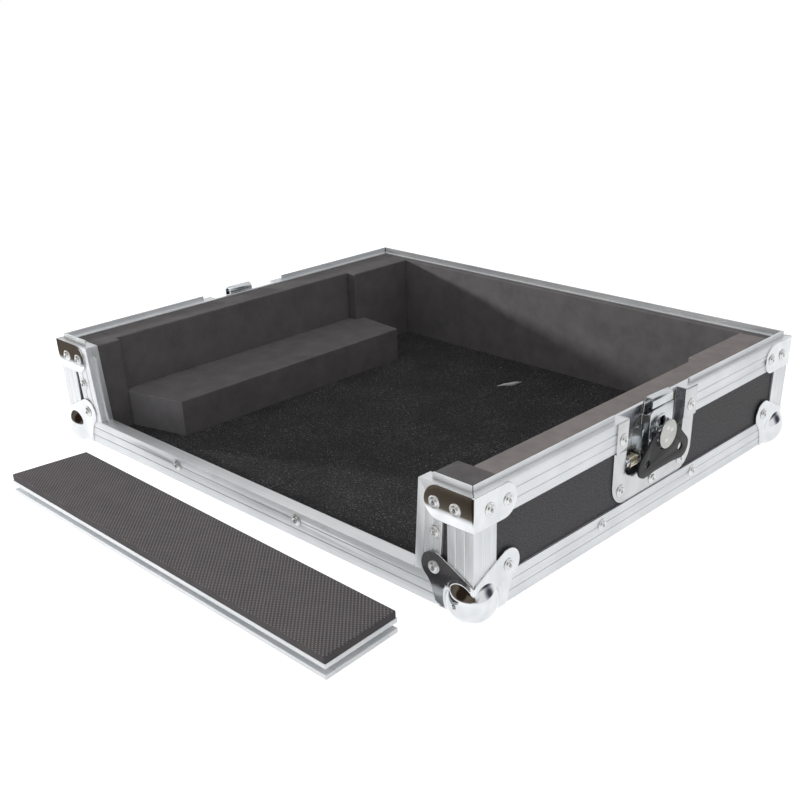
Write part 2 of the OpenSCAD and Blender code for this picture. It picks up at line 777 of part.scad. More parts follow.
// Sliding cover plate with two side flanges, riding with the hook
module latch_plate(k) color(zinc) on_face(k) difference() {
    union() {
        elevation([
            [hub_x - plate_half, slide_low], [hub_x + plate_half, slide_low],
            [hub_x + plate_half, plate_top], [hub_x - plate_half + plate_bevel, plate_top],
            [hub_x - plate_half, plate_top - plate_bevel]
        ], plate_front, plate_back);
        for (s = [hub_x - plate_half, hub_x + plate_half - plate_t])
            translate([s, plate_front, slide_low])
                cube([plate_t, hook_front - plate_front, plate_top - plate_bevel - slide_low]);
        slot_in(hub_x, hub_z, slot_r + 2.4, hook_travel, rim_front, plate_front);
    }
    slot_in(hub_x, hub_z, slot_r, hook_travel, rim_front - cut, plate_back + cut);
}

// Hook: a back plate that the cam moves, rolled over outwards at the rim
module latch_hook(k) color(zinc) on_face(k) {
    half = hook_w / 2;
    difference() {
        union() {
            translate([hub_x - plate_half, hook_front, slide_low])
                cube([2 * plate_half, plate_t, plate_top - plate_bevel - slide_low]);
            translate([hub_x - half, hook_front, plate_top - plate_bevel - tiny])
                cube([hook_w, plate_t, roll_z - plate_top + plate_bevel + tiny]);
        }
        slot_in(hub_x, hub_z, tail_slot_r, hook_travel, hook_front - cut, hook_back + cut);
    }
    difference() {
        round_along(hub_x - half, hub_x + half, roll_u, roll_z, roll_r);
        round_along(hub_x - half - cut, hub_x + half + cut, roll_u, roll_z, roll_r - plate_t);
        translate([hub_x - half - cut, plate_front - cut, roll_z - 2 * roll_r])
            cube([hook_w + 2 * cut, 2 * roll_r + 2 * cut, 2 * roll_r]);
    }
    translate([hub_x - half, plate_front, lip_low]) cube([hook_w, plate_t, roll_z - lip_low]);
    for (z = [hub_z + cam_off + cam_r + rib_gap, hub_z + cam_off - cam_r - rib_gap - plate_t])
        translate([hub_x - rib_half, cam_near + 1, z])
            cube([2 * rib_half, hook_front - cam_near - 1 + tiny, plate_t]);
}

// Hub: tail in the dish, cam behind the cover plate, shaft, block, pin and round cap
module latch_hub(k) color(steel) on_face(k) {
    block_back = rim_front - tiny;
    round_in(hub_x, hub_z, hub_tail_r, cam_far - tiny, pocket_back);
    round_in(hub_x, hub_z + cam_off, cam_r, cam_near, cam_far);
    round_in(hub_x, hub_z, hub_shaft_r, block_back - tiny, cam_near + tiny);
    round_in(hub_x, hub_z, hub_block_r, cap_back - tiny, block_back);
    round_in(hub_x, hub_z, hub_cap_r, -hub_proud, cap_back);
    round_along(hub_x - pin_half, hub_x + pin_half, pin_u, pin_z, pin_r);
}

// Half outline of the butterfly handle about the hub axis, from its arm to its lower edge
function handle_half_outline() =
    let (lobe = [handle_half - lobe_r, lobe_r - handle_drop],
         arm = [arm_half, 0.5],
         reach = arm - lobe,
         turn = atan2(reach[1], reach[0]) - acos(lobe_r / norm(reach)))
    concat(
        [[arm_half, pin_rise + barrel_r], arm],
        arc(lobe[0], lobe[1], lobe_r, turn, -90, 10),
        [[handle_half - 2.4 * lobe_r, 1.4 - handle_drop]]
    );

// Butterfly handle, folded down over the cover plate
module latch_handle(k) color(black) on_face(k) translate([hub_x, 0, hub_z]) difference() {
    right = handle_half_outline();
    left = [for (i = [len(right) - 1:-1:0]) [-right[i][0], right[i][1]]];
    union() {
        difference() {
            elevation(concat(right, left), -handle_proud, handle_back);
            round_in(0, 0, notch_r, -handle_proud - cut, handle_back + cut);
            translate([-notch_r, -handle_proud - cut, 0]) cube([2 * notch_r, handle_t + 2 * cut, case_h]);
            for (s = [-finger_s, finger_s])
                round_in(s, -finger_z, finger_r, -handle_proud - cut, handle_back + cut);
        }
        for (s = [-barrel_out, barrel_in])
            round_along(s, s + barrel_out - barrel_in, pin_u, pin_rise, barrel_r);
    }
    round_along(-pin_half - tiny, pin_half + tiny, pin_u, pin_rise, pin_hole);
}

// Middle line of the spring: a straight leg, the curls round the post and a leg to the dish
curl_steps = 8;
leg_out = post_u - ear_front - 2 * spring_wire_r;
leg_in = pocket_d - post_u - spring_wire_r - tiny;
spring_top = post_z + spring_r;
spring_turns = [for (i = [0:spring_curls * curl_steps])
    let (a = 360 * i / curl_steps)
    [spring_a + spring_pitch * i / curl_steps, post_u + spring_r * sin(a), post_z + spring_r * cos(a), a]];
spring_path = concat(
    [[spring_a, post_u - leg_out, spring_top, 0]],
    spring_turns,
    [[spring_a + spring_pitch * spring_curls, post_u + leg_in, spring_top, 0]]
);
spring_sides = 6;
spring_points = [for (p = spring_path) for (j = [0:spring_sides - 1])
    let (b = 360 * j / spring_sides, out = spring_wire_r * cos(b))
    [p[0] + spring_wire_r * sin(b), p[1] + out * sin(p[3]), p[2] + out * cos(p[3])]];
spring_last = len(spring_path) - 1;
spring_faces = concat(
    [for (i = [0:spring_last - 1]) for (j = [0:spring_sides - 1])
        let (a = i * spring_sides + j, b = i * spring_sides + (j + 1) % spring_sides,
             c = a + spring_sides, d = b + spring_sides)
        each [[a, b, d], [a, d, c]]],
    [for (j = [1:spring_sides - 2]) [0, j + 1, j]],
    [for (j = [1:spring_sides - 2])
        let (e = spring_last * spring_sides) [e, e + j, e + j + 1]]
);
spring_least_gap = min([for (i = [0:len(spring_turns) - 1])
    for (j = [i + curl_steps / 2:1:len(spring_turns) - 1])
        norm([for (c = [0:2]) spring_turns[i][c] - spring_turns[j][c]])]) - 2 * spring_wire_r;
echo(spring_least_gap = spring_least_gap);

module latch_spring(k) color("goldenrod") on_face(k) polyhedron(spring_points, spring_faces);

module right_latch_dish() latch_dish(1);
module right_latch_bracket() latch_bracket(1);
module right_latch_plate() latch_plate(1);
module right_latch_hook() latch_hook(1);
module right_latch_hub() latch_hub(1);
module right_latch_handle() latch_handle(1);
module right_latch_spring() latch_spring(1);
module left_latch_dish() latch_dish(3);
module left_latch_bracket() latch_bracket(3);
module left_latch_plate() latch_plate(3);
module left_latch_hook() latch_hook(3);
module left_latch_hub() latch_hub(3);
module left_latch_handle() latch_handle(3);
module left_latch_spring() latch_spring(3);

// Front panel, lying on its outer face with its lower edge towards the tray

// Panel axes: x from its middle, y from its near edge back, z from the floor it lies on
module on_panel()
    translate([case_w / 2 + panel_shift, -panel_out - panel_h / 2, ball_low])
        rotate([0, 0, panel_turn]) translate([0, -panel_h / 2, 0]) children();

// Half width of the panel at a distance from its near edge
function half_at(y) = panel_near_half - (panel_near_half - panel_far_half) * y / panel_h;

// A layer of the panel between two heights, inset from all four edges
module panel_layer(inset, low, high) {
    run = inset / cos(lean);
    translate([0, 0, low]) linear_extrude(high - low) polygon([
        [run - half_at(inset), inset], [half_at(inset) - run, inset],
        [half_at(panel_h - inset) - run, panel_h - inset],
        [run - half_at(panel_h - inset), panel_h - inset]
    ]);
}

// Layers of the frame's section: two heights and two insets from the edge
frame_layers = [
    [0, ext_t, 0, panel_rail_w],
    [ext_t, panel_lip, 0, panel_web],
    [panel_lip, wall_t - panel_lip, panel_groove_d, panel_web],
    [wall_t - panel_lip, inner_face, 0, panel_web],
    [inner_face, wall_t, 0, panel_inner]
];

// The groove that runs down both ends of the panel and takes the guide's tongue
module end_grooves() {
    run = panel_groove_d / cos(lean);
    for (side = [-1, 1]) translate([0, 0, panel_lip]) linear_extrude(panel_groove_w) polygon([
        [side * (half_at(-cut) - run), -cut], [side * (half_at(-cut) + cut), -cut],
        [side * (half_at(panel_h + cut) + cut), panel_h + cut],
        [side * (half_at(panel_h + cut) - run), panel_h + cut]
    ]);
}

// A channel along the near edge or the far edge, full length
module long_channel(far) color(alloy) on_panel() difference() {
    union() for (row = frame_layers) intersection() {
        panel_layer(0, row[0], row[1]);
        translate([-case_w, far ? panel_h - row[3] : row[2], row[0]])
            cube([2 * case_w, row[3] - row[2], row[1] - row[0]]);
    }
    end_grooves();
}

module panel_top_channel() long_channel(false);
module panel_bottom_channel() long_channel(true);

// A channel along one end, between the two long ones
module end_channel(side) color(alloy) on_panel() for (row = frame_layers) {
    near = row[3];
    far = panel_h - row[3];
    outer = row[2] / cos(lean);
    inner = row[3] / cos(lean);
    translate([0, 0, row[0]]) linear_extrude(row[1] - row[0]) polygon([
        [side * (half_at(near) - inner), near], [side * (half_at(near) - outer), near],
        [side * (half_at(far) - outer), far], [side * (half_at(far) - inner), far]
    ]);
}

module panel_left_channel() end_channel(-1);
module panel_right_channel() end_channel(1);

module panel_board() color(laminate) on_panel() panel_layer(panel_web, ext_t, inner_face);

// Foam glued on the board and over the frame's inner face
module panel_foam() color(foam_grey) on_panel() {
    panel_layer(panel_inner, inner_face, wall_t + tiny);
    panel_layer(tiny, wall_t, wall_t + panel_foam_t);
}

placed() floor_board();
placed() left_wall_board();
placed() right_wall_board();
placed() back_wall_board();
placed() front_left_board();
placed() front_right_board();
placed() sill_board();
placed() carpet();
placed() left_foam_strip();
placed() left_front_foam();
placed() left_back_foam();
placed() step_foam();
placed() right_foam_strip();
placed() right_front_foam();
placed() right_back_foam();
placed() back_foam_liner();
placed() left_bottom_rail();
placed() right_bottom_rail();
placed() back_bottom_rail();
placed() front_sill();
placed() front_left_angle();
placed() front_right_angle();
placed() back_right_angle();
placed() back_left_angle();
placed() left_top_rail();
placed() right_top_rail();
placed() back_top_rail();
placed() front_left_top_rail();
placed() front_right_top_rail();
placed() left_guide();
placed() right_guide();
placed() front_left_ball_corner();
placed() front_right_ball_corner();
placed() back_right_ball_corner();
placed() back_left_ball_corner();
placed() front_left_brace();
placed() front_right_brace();
placed() back_right_brace();
placed() back_left_brace();
placed() rivets();
placed() right_latch_dish();
placed() right_latch_bracket();
placed() right_latch_plate();
placed() right_latch_hook();
placed() right_latch_hub();
placed() right_latch_handle();
placed() right_latch_spring();
placed() left_latch_dish();
placed() left_latch_bracket();
placed() left_latch_plate();
placed() left_latch_hook();
placed() left_latch_hub();
placed() left_latch_handle();
placed() left_latch_spring();
placed() panel_board();
placed() panel_foam();
placed() panel_top_channel();
placed() panel_bottom_channel();
placed() panel_left_channel();
placed() panel_right_channel();
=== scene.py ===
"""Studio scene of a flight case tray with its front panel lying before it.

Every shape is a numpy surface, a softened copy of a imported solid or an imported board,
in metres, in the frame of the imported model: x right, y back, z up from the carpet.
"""
import bmesh
import bpy
import json
import math
import numpy as np
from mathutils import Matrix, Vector

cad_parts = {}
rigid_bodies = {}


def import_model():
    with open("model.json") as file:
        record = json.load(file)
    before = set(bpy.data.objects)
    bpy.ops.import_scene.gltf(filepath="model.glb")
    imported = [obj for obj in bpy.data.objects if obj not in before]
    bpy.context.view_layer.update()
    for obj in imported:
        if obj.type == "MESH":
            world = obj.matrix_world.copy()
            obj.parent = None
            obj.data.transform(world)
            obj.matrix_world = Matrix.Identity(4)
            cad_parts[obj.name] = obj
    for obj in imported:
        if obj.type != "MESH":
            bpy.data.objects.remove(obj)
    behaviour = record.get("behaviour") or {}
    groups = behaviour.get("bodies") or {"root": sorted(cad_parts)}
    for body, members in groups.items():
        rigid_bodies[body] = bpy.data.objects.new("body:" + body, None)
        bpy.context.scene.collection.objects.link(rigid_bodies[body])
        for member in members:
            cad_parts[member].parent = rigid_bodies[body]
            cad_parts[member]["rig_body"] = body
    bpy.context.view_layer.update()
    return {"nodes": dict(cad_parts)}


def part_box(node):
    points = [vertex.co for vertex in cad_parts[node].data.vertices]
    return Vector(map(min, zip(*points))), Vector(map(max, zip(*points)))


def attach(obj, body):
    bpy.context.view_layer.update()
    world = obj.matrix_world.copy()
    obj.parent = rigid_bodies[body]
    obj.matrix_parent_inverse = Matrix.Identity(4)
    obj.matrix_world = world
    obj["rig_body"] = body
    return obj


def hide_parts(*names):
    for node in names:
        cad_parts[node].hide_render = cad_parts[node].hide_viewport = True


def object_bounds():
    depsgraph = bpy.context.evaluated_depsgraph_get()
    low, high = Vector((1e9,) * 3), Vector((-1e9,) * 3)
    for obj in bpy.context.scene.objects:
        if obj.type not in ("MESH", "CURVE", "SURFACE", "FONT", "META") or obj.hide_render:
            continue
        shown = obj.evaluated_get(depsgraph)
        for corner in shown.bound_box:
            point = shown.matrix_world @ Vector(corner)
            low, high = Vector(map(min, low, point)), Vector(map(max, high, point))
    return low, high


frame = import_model()
NODES = frame["nodes"]
SCENE = bpy.context.scene
MM = 0.001

# Sizes of the tray in millimetres, as in the source, measured from its left front lower
# corner: width, depth and height, the origin's place, the lengths of the front, right, back
# and left faces, and the thickness of the pressed steel
CASE = np.array([544.0, 457.0, 100.0])
ORIGIN = np.array([272.0, 228.5, 10.3])
FACE_LENGTH = [CASE[0], CASE[1], CASE[0], CASE[1]]
STEEL = 1.2


# Mesh helpers

def to_frame(points):
    """Tray millimetres to frame metres."""
    return (np.asarray(points, float) - ORIGIN) * MM


def mesh_piece(name, points, faces, smooth=True):
    """A mesh object from frame points in metres and a list of faces."""
    mesh = bpy.data.meshes.new(name)
    mesh.from_pydata(np.asarray(points).tolist(), [], [list(map(int, f)) for f in faces])
    mesh.validate()
    mesh.polygons.foreach_set("use_smooth", np.full(len(mesh.polygons), smooth))
    mesh.update()
    piece = bpy.data.objects.new(name, mesh)
    SCENE.collection.objects.link(piece)
    return piece


def grid_faces(rows, cols, start=0, close=False):
    """Quads of a grid of rows by cols points, closed round the columns if asked."""
    i, j = np.meshgrid(np.arange(rows - 1), np.arange(cols if close else cols - 1), indexing="ij")
    k = (j + 1) % cols
    a, b, c, d = i * cols + j, i * cols + k, (i + 1) * cols + k, (i + 1) * cols + j
    return (np.stack([a, b, c, d], -1).reshape(-1, 4) + start).tolist()


def join_rings(rings):
    """Rings of equal length skinned in turn, with a flat many-sided face at both ends."""
    rings = [np.asarray(r, float) for r in rings]
    n = len(rings[0])
    faces = grid_faces(len(rings), n, close=True)
    faces.append(list(range(n))[::-1])
    faces.append([(len(rings) - 1) * n + i for i in range(n)])
    return np.concatenate(rings), faces


def rounded_outline(corners, radius, steps=5):
    """A closed outline with each corner turned into an arc, and its outward normals.

    At each corner the arc's centre lies on the bisector, at radius over the sine
    of half the corner's angle; the points run from one tangent to the other."""
    corners = np.asarray(corners, float)
    out, normals = [], []
    for before, here, after in zip(np.roll(corners, 1, 0), corners, np.roll(corners, -1, 0)):
        u = (before - here) / np.linalg.norm(before - here)
        v = (after - here) / np.linalg.norm(after - here)
        half = math.acos(np.clip(u @ v, -1, 1)) / 2
        cross = -u[0] * v[1] + u[1] * v[0]
        middle = here + (u + v) / np.linalg.norm(u + v) * radius / math.sin(half)
        start = here + u * radius / math.tan(half) - middle
        turn = (math.pi - 2 * half) * (1 if cross > 0 else -1)
        t = np.linspace(0, turn, steps)
        spin = np.stack([np.cos(t), -np.sin(t), np.sin(t), np.cos(t)], -1).reshape(-1, 2, 2)
        ray = spin @ start
        out.append(middle + ray)
        normals.append(ray / radius * (1 if cross > 0 else -1))
    return np.concatenate(out), np.concatenate(normals)


def slab(outline, normals, low, high, round_low, round_high, steps=4):
    """Rings of a slab with rounded edges: at an angle t round an edge of radius r the
    outline moves in by r(1 - sin t) while the height runs by r(1 - cos t)."""
    t = np.linspace(0, math.pi / 2, steps)
    lower = [(round_low * (1 - math.sin(a)), low + round_low * (1 - math.cos(a))) for a in t]
    upper = [(round_high * (1 - math.sin(a)), high - round_high * (1 - math.cos(a))) for a in t[::-1]]
    return [np.column_stack([outline - normals * inset, np.full(len(outline), z)])
            for inset, z in lower + upper]


def lathe(profile, segments=32):
    """Points and faces of a profile of (radius, height) turned about the z axis, each end
    closed by a point on the axis."""
    profile = np.asarray(profile, float)
    t = np.arange(segments) * 2 * math.pi / segments
    r, z = profile[:, 0][:, None], profile[:, 1][:, None]
    points = np.stack([r * np.cos(t), r * np.sin(t), z + 0 * t], -1).reshape(-1, 3)
    n = len(profile)
    faces = grid_faces(n, segments, close=True)
    points = np.vstack([points, [0, 0, profile[0, 1]], [0, 0, profile[-1, 1]]])
    low, high = n * segments, n * segments + 1
    for j in range(segments):
        k = (j + 1) % segments
        faces.append([low, k, j])
        faces.append([high, (n - 1) * segments + j, (n - 1) * segments + k])
    return points, faces


def tube(path, radius, sides=12):
    """A round tube along a path: each ring lies across the path's own direction, and its
    zero turns as little as it can from ring to ring."""
    path = np.asarray(path, float)
    ahead = np.gradient(path, axis=0)
    ahead /= np.linalg.norm(ahead, axis=1)[:, None]
    side = np.cross(ahead[0], [0.31, 0.17, 0.93])
    rings = []
    t = np.arange(sides) * 2 * math.pi / sides
    for p, a in zip(path, ahead):
        side = side - a * (side @ a)
        side /= np.linalg.norm(side)
        other = np.cross(a, side)
        rings.append(p + radius * (np.outer(np.cos(t), side) + np.outer(np.sin(t), other)))
    return join_rings(rings)


def on_face(k, suv):
    """Face coordinates (along, depth inward, height) to tray millimetres, for the front,
    right, back and left faces."""
    s, u, z = np.moveaxis(np.asarray(suv, float), -1, 0)
    w, d = CASE[0], CASE[1]
    x = [s, w - u, w - s, u][k]
    y = [u, s, d - u, d - s][k]
    return np.stack([x, y, z], -1)


def outward(piece, near=1e-6):
    """Merges the piece's doubles and turns its faces outward."""
    bm = bmesh.new()
    bm.from_mesh(piece.data)
    bmesh.ops.remove_doubles(bm, verts=bm.verts, dist=near)
    loose = [v for v in bm.verts if not v.link_faces]
    bmesh.ops.delete(bm, geom=loose, context="VERTS")
    bmesh.ops.recalc_face_normals(bm, faces=bm.faces)
    bm.to_mesh(piece.data)
    bm.free()
    return piece


def stand_for(piece, node, material):
    """Lets a piece ride with a node's body and take its place, with one material."""
    piece.data.materials.clear()
    piece.data.materials.append(material)
    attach(piece, NODES[node]["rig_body"])
    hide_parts(node)
    return piece


def soften(node, width, material, segments=2, lips=None, lip_radius=0.0):
    """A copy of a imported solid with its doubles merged, its flats made whole and every sharp
    edge rounded to a width in millimetres. lips picks the edges that a press bent wider."""
    mesh = NODES[node].data.copy()
    mesh.name = node + "_soft"
    bm = bmesh.new()
    bm.from_mesh(mesh)
    bmesh.ops.remove_doubles(bm, verts=bm.verts, dist=2e-6)
    bmesh.ops.dissolve_limit(bm, angle_limit=math.radians(0.5), verts=bm.verts, edges=bm.edges)
    if lips:
        bent = [e for e in bm.edges if lips(e)]
        bmesh.ops.bevel(bm, geom=bent, offset=lip_radius * MM, offset_type="OFFSET", segments=6,
                        profile=0.5, affect="EDGES", clamp_overlap=False)
    bm.to_mesh(mesh)
    bm.free()
    mesh.polygons.foreach_set("use_smooth", np.full(len(mesh.polygons), True))
    piece = bpy.data.objects.new(node + "_soft", mesh)
    SCENE.collection.objects.link(piece)
    bevel = piece.modifiers.new("edge", "BEVEL")
    bevel.width = width * MM
    bevel.segments = segments
    bevel.limit_method = "ANGLE"
    bevel.angle_limit = math.radians(32)
    bevel.use_clamp_overlap = True
    bevel.harden_normals = True
    return stand_for(piece, node, material)


# Materials

def linear(code):
    """An sRGB hex colour as linear values with full alpha."""
    parts = [int(code[i:i + 2], 16) / 255 for i in (1, 3, 5)]
    return [c / 12.92 if c <= 0.04045 else ((c + 0.055) / 1.055) ** 2.4 for c in parts] + [1.0]


def add(tree, kind, links=None, stops=None, **settings):
    """Adds a node: settings name its properties or, after in_, its sockets by number or
    name; links give a socket another node's output; stops are a colour ramp's hex colours
    by position."""
    node = tree.nodes.new(kind)
    for key, value in settings.items():
        if key.startswith("in_"):
            key = key[3:]
            node.inputs[int(key) if key.isdigit() else key.replace("_", " ")].default_value = value
        else:
            setattr(node, key, value)
    for key, source in (links or {}).items():
        output = source if isinstance(source, bpy.types.NodeSocket) else source.outputs[0]
        tree.links.new(output, node.inputs[key])
    for i, (position, colour) in enumerate(stops or ()):
        elements = node.color_ramp.elements
        element = elements[i] if i < len(elements) else elements.new(position)
        element.position = position
        element.color = linear(colour)
    return node


# Middle and turn of the carpet's slit, and how far its ends bow for each square millimetre
SLIT = to_frame([273.5, 372, 0])
SLIT_TURN = math.radians(66)
SLIT_BOW = 0.012


def new_material(name):
    """An empty node material, its tree and its Object coordinates."""
    material = bpy.data.materials.new(name)
    material.use_nodes = True
    tree = material.node_tree
    tree.nodes.clear()
    where = add(tree, "ShaderNodeTexCoord")
    return material, tree, where.outputs["Object"]


def drawn_aluminium(name, axis, metal=0.85):
    """Aluminium drawn through a die and left satin: die lines 0.9 mm apart run along the
    bar, so the eye sees soft lengthwise bands of silver and bluish grey. Where two lying
    bars meet at a corner, a dark grey line 0.6 mm wide along their mitre is painted shade
    of the gap there."""
    material, tree, where = new_material(name)
    stretch = [1 / (0.9 * MM)] * 3
    stretch[axis] = 1 / (260 * MM)
    along = add(tree, "ShaderNodeMapping", {"Vector": where}, in_Scale=stretch)
    line = add(tree, "ShaderNodeTexNoise", {"Vector": along}, in_Scale=1.0, in_Detail=4.0,
               in_Roughness=0.6)
    patch = add(tree, "ShaderNodeTexNoise", {"Vector": where}, in_Scale=1 / (45 * MM), in_Detail=2.0)
    both = add(tree, "ShaderNodeMix", {"A": line.outputs[0], "B": patch.outputs[0]},
               data_type="FLOAT", in_Factor=0.45)
    colour = add(tree, "ShaderNodeValToRGB", {"Fac": both},
                 stops=[(0.3, "#ccd0d4"), (0.55, "#dfe1e3"), (0.75, "#ececec")])
    rough = add(tree, "ShaderNodeMapRange", {"Value": line.outputs[0]}, in_3=0.4, in_4=0.56)
    bump = add(tree, "ShaderNodeBump", {"Height": line.outputs[0]}, in_Strength=0.3,
               in_Distance=0.04 * MM)
    # Painted shade: a dark grey line along the mitre where two bars meet at a corner
    if axis < 2:
        parts = add(tree, "ShaderNodeSeparateXYZ", {"Vector": where})
        sides = [add(tree, "ShaderNodeMath", {0: parts.outputs[i]}, operation="ABSOLUTE")
                 for i in (0, 1)]
        off = add(tree, "ShaderNodeMath", {0: sides[0], 1: sides[1]}, operation="SUBTRACT")
        gap = add(tree, "ShaderNodeMath", {0: off}, operation="COMPARE",
                  in_1=(CASE[0] - CASE[1]) / 2 * MM, in_2=0.42 * MM)
        mitre_shaded = add(tree, "ShaderNodeMix", {"Factor": gap, "A": colour}, data_type="RGBA")
        mitre_shaded.inputs["B"].default_value = linear("#2e2e30")
        colour = mitre_shaded.outputs["Result"]
    metallic = add(tree, "ShaderNodeBsdfPrincipled",
                   {"Base Color": colour, "Roughness": rough, "Normal": bump}, in_Metallic=metal)
    add(tree, "ShaderNodeOutputMaterial", {"Surface": metallic})
    return material


def plated_steel(name, dark, light, low, high, wave=0.02, lean=None):
    """Plated pressed steel: bright and smooth, with waves 14 mm long that the press leaves
    and rubbed spots 2 mm across that cloud its mirror. lean gives the height over which the
    sheet leans back, how steeply at its foot and at its top, and the axis it looks along."""
    material, tree, where = new_material(name)
    swell = add(tree, "ShaderNodeTexNoise", {"Vector": where}, in_Scale=1 / (14 * MM), in_Detail=1.0)
    rub = add(tree, "ShaderNodeTexNoise", {"Vector": where}, in_Scale=1 / (2 * MM), in_Detail=3.0)
    colour = add(tree, "ShaderNodeValToRGB", {"Fac": swell.outputs[0]},
                 stops=[(0.3, dark), (0.7, light)])
    rough = add(tree, "ShaderNodeMapRange", {"Value": rub.outputs[0]}, in_1=0.3, in_2=0.7,
                in_3=low, in_4=high)
    bump = add(tree, "ShaderNodeBump", {"Height": swell.outputs[0]}, in_Distance=wave * MM)
    if lean:
        foot, top, gentle, steep, axis = lean
        parts = add(tree, "ShaderNodeSeparateXYZ", {"Vector": where})
        rise = add(tree, "ShaderNodeMath", {0: parts.outputs[2]}, operation="SUBTRACT", in_1=foot * MM)
        over = add(tree, "ShaderNodeMath", {0: rise}, operation="MAXIMUM", in_1=0.0)
        slope = add(tree, "ShaderNodeMath", {0: over}, operation="MULTIPLY_ADD",
                    in_1=(gentle - steep) / (2 * (top - foot) * MM), in_2=-gentle)
        fall = add(tree, "ShaderNodeMath", {0: over, 1: slope}, operation="MULTIPLY")
        facing = add(tree, "ShaderNodeNewGeometry")
        parts = add(tree, "ShaderNodeSeparateXYZ", {"Vector": facing.outputs["Normal"]})
        share = add(tree, "ShaderNodeMath", {0: parts.outputs[axis]}, operation="ABSOLUTE")
        fall = add(tree, "ShaderNodeMath", {0: fall, 1: share}, operation="MULTIPLY")
        bump = add(tree, "ShaderNodeBump", {"Height": fall, "Normal": bump}, in_Distance=1.0)
    metallic = add(tree, "ShaderNodeBsdfPrincipled",
                   {"Base Color": colour, "Roughness": rough, "Normal": bump}, in_Metallic=1.0)
    add(tree, "ShaderNodeOutputMaterial", {"Surface": metallic})
    return material


def grained_laminate(name):
    """Melamine facing on plywood: matte black with a pebble grain 0.8 mm across, so it looks
    an even dark grey in soft light."""
    material, tree, where = new_material(name)
    pebble = add(tree, "ShaderNodeTexVoronoi", {"Vector": where}, in_Scale=1 / (0.8 * MM))
    cloud = add(tree, "ShaderNodeTexNoise", {"Vector": where}, in_Scale=1 / (1.2 * MM), in_Detail=4.0)
    colour = add(tree, "ShaderNodeValToRGB", {"Fac": cloud.outputs[0]},
                 stops=[(0.38, "#2b2b2d"), (0.62, "#514f52")])
    rough = add(tree, "ShaderNodeMapRange", {"Value": cloud.outputs[0]}, in_3=0.55, in_4=0.7)
    bump = add(tree, "ShaderNodeBump", {"Height": pebble.outputs[0]}, in_Strength=0.4,
               in_Distance=0.1 * MM)
    resin = add(tree, "ShaderNodeBsdfPrincipled",
                {"Base Color": colour, "Roughness": rough, "Normal": bump}, in_Specular_IOR_Level=0.35)
    add(tree, "ShaderNodeOutputMaterial", {"Surface": resin})
    return material


def hatching(tree, where, across, angle, pitch, along=0.9):
    """Dots along slanting ribs: the product of one sine wave across the ribs and another
    along them. across names the plane's two axes, and the pitch is in millimetres."""
    parts = add(tree, "ShaderNodeSeparateXYZ", {"Vector": where})
    c, s = math.cos(math.radians(angle)), math.sin(math.radians(angle))
    waves = []
    for p, q, length in ((c, s, pitch), (-s, c, pitch * along)):
        k = 2 * math.pi / (length * MM)
        first = add(tree, "ShaderNodeMath", {0: parts.outputs[across[0]]}, operation="MULTIPLY",
                    in_1=p * k)
        phase = add(tree, "ShaderNodeMath", {0: parts.outputs[across[1]], 2: first},
                    operation="MULTIPLY_ADD", in_1=q * k)
        sine = add(tree, "ShaderNodeMath", {0: phase}, operation="SINE")
        waves.append(add(tree, "ShaderNodeMapRange", {"Value": sine}, in_1=-1.0, in_2=1.0))
    return add(tree, "ShaderNodeMath", {0: waves[0], 1: waves[1]}, operation="MULTIPLY")


def cell_foam(name, dark, light, hatch=None, tip_highlight="#8a8786", weight=0.0, on="LESS_THAN"):
    """Closed-cell polyethylene foam: a dull dry skin with cells near 0.9 mm and faint clouds
    20 mm across. Where the sheet is embossed, on its sides or on its top, the tips of its
    dots are raised by a bump and painted pale as a painted highlight."""
    material, tree, where = new_material(name)
    cells = add(tree, "ShaderNodeTexVoronoi", {"Vector": where}, in_Scale=1 / (0.9 * MM))
    cloud = add(tree, "ShaderNodeTexNoise", {"Vector": where}, in_Scale=1 / (20 * MM), in_Detail=5.0,
                in_Roughness=0.65)
    colour = add(tree, "ShaderNodeValToRGB", {"Fac": cloud.outputs[0]},
                 stops=[(0.3, dark), (0.7, light)])
    bump = add(tree, "ShaderNodeBump", {"Height": cells.outputs[0]}, in_Strength=0.35,
               in_Distance=0.15 * MM)
    if hatch:
        dots = hatching(tree, where, *hatch)
        tips = add(tree, "ShaderNodeMath", {0: dots}, operation="POWER", in_1=1.6)
        share = add(tree, "ShaderNodeMath", {0: tips}, operation="MULTIPLY", in_1=weight)
        facing = add(tree, "ShaderNodeNewGeometry")
        parts = add(tree, "ShaderNodeSeparateXYZ", {"Vector": facing.outputs["Normal"]})
        sheet = add(tree, "ShaderNodeMath", {0: parts.outputs[2]}, operation=on, in_1=0.7)
        share = add(tree, "ShaderNodeMath", {0: share, 1: sheet}, operation="MULTIPLY")
        # Painted highlight: the tips of the embossed dots are mixed towards a pale colour
        colour = add(tree, "ShaderNodeMix", {"Factor": share, "A": colour}, data_type="RGBA")
        colour.inputs["B"].default_value = linear(tip_highlight)
        bump = add(tree, "ShaderNodeBump", {"Height": share, "Normal": bump}, in_Distance=0.5 * MM)
    tint = colour.outputs["Result"] if hatch else colour.outputs[0]
    skin = add(tree, "ShaderNodeBsdfPrincipled", {"Base Color": tint, "Normal": bump},
               in_Roughness=0.85, in_Specular_IOR_Level=0.3)
    add(tree, "ShaderNodeOutputMaterial", {"Surface": skin})
    return material


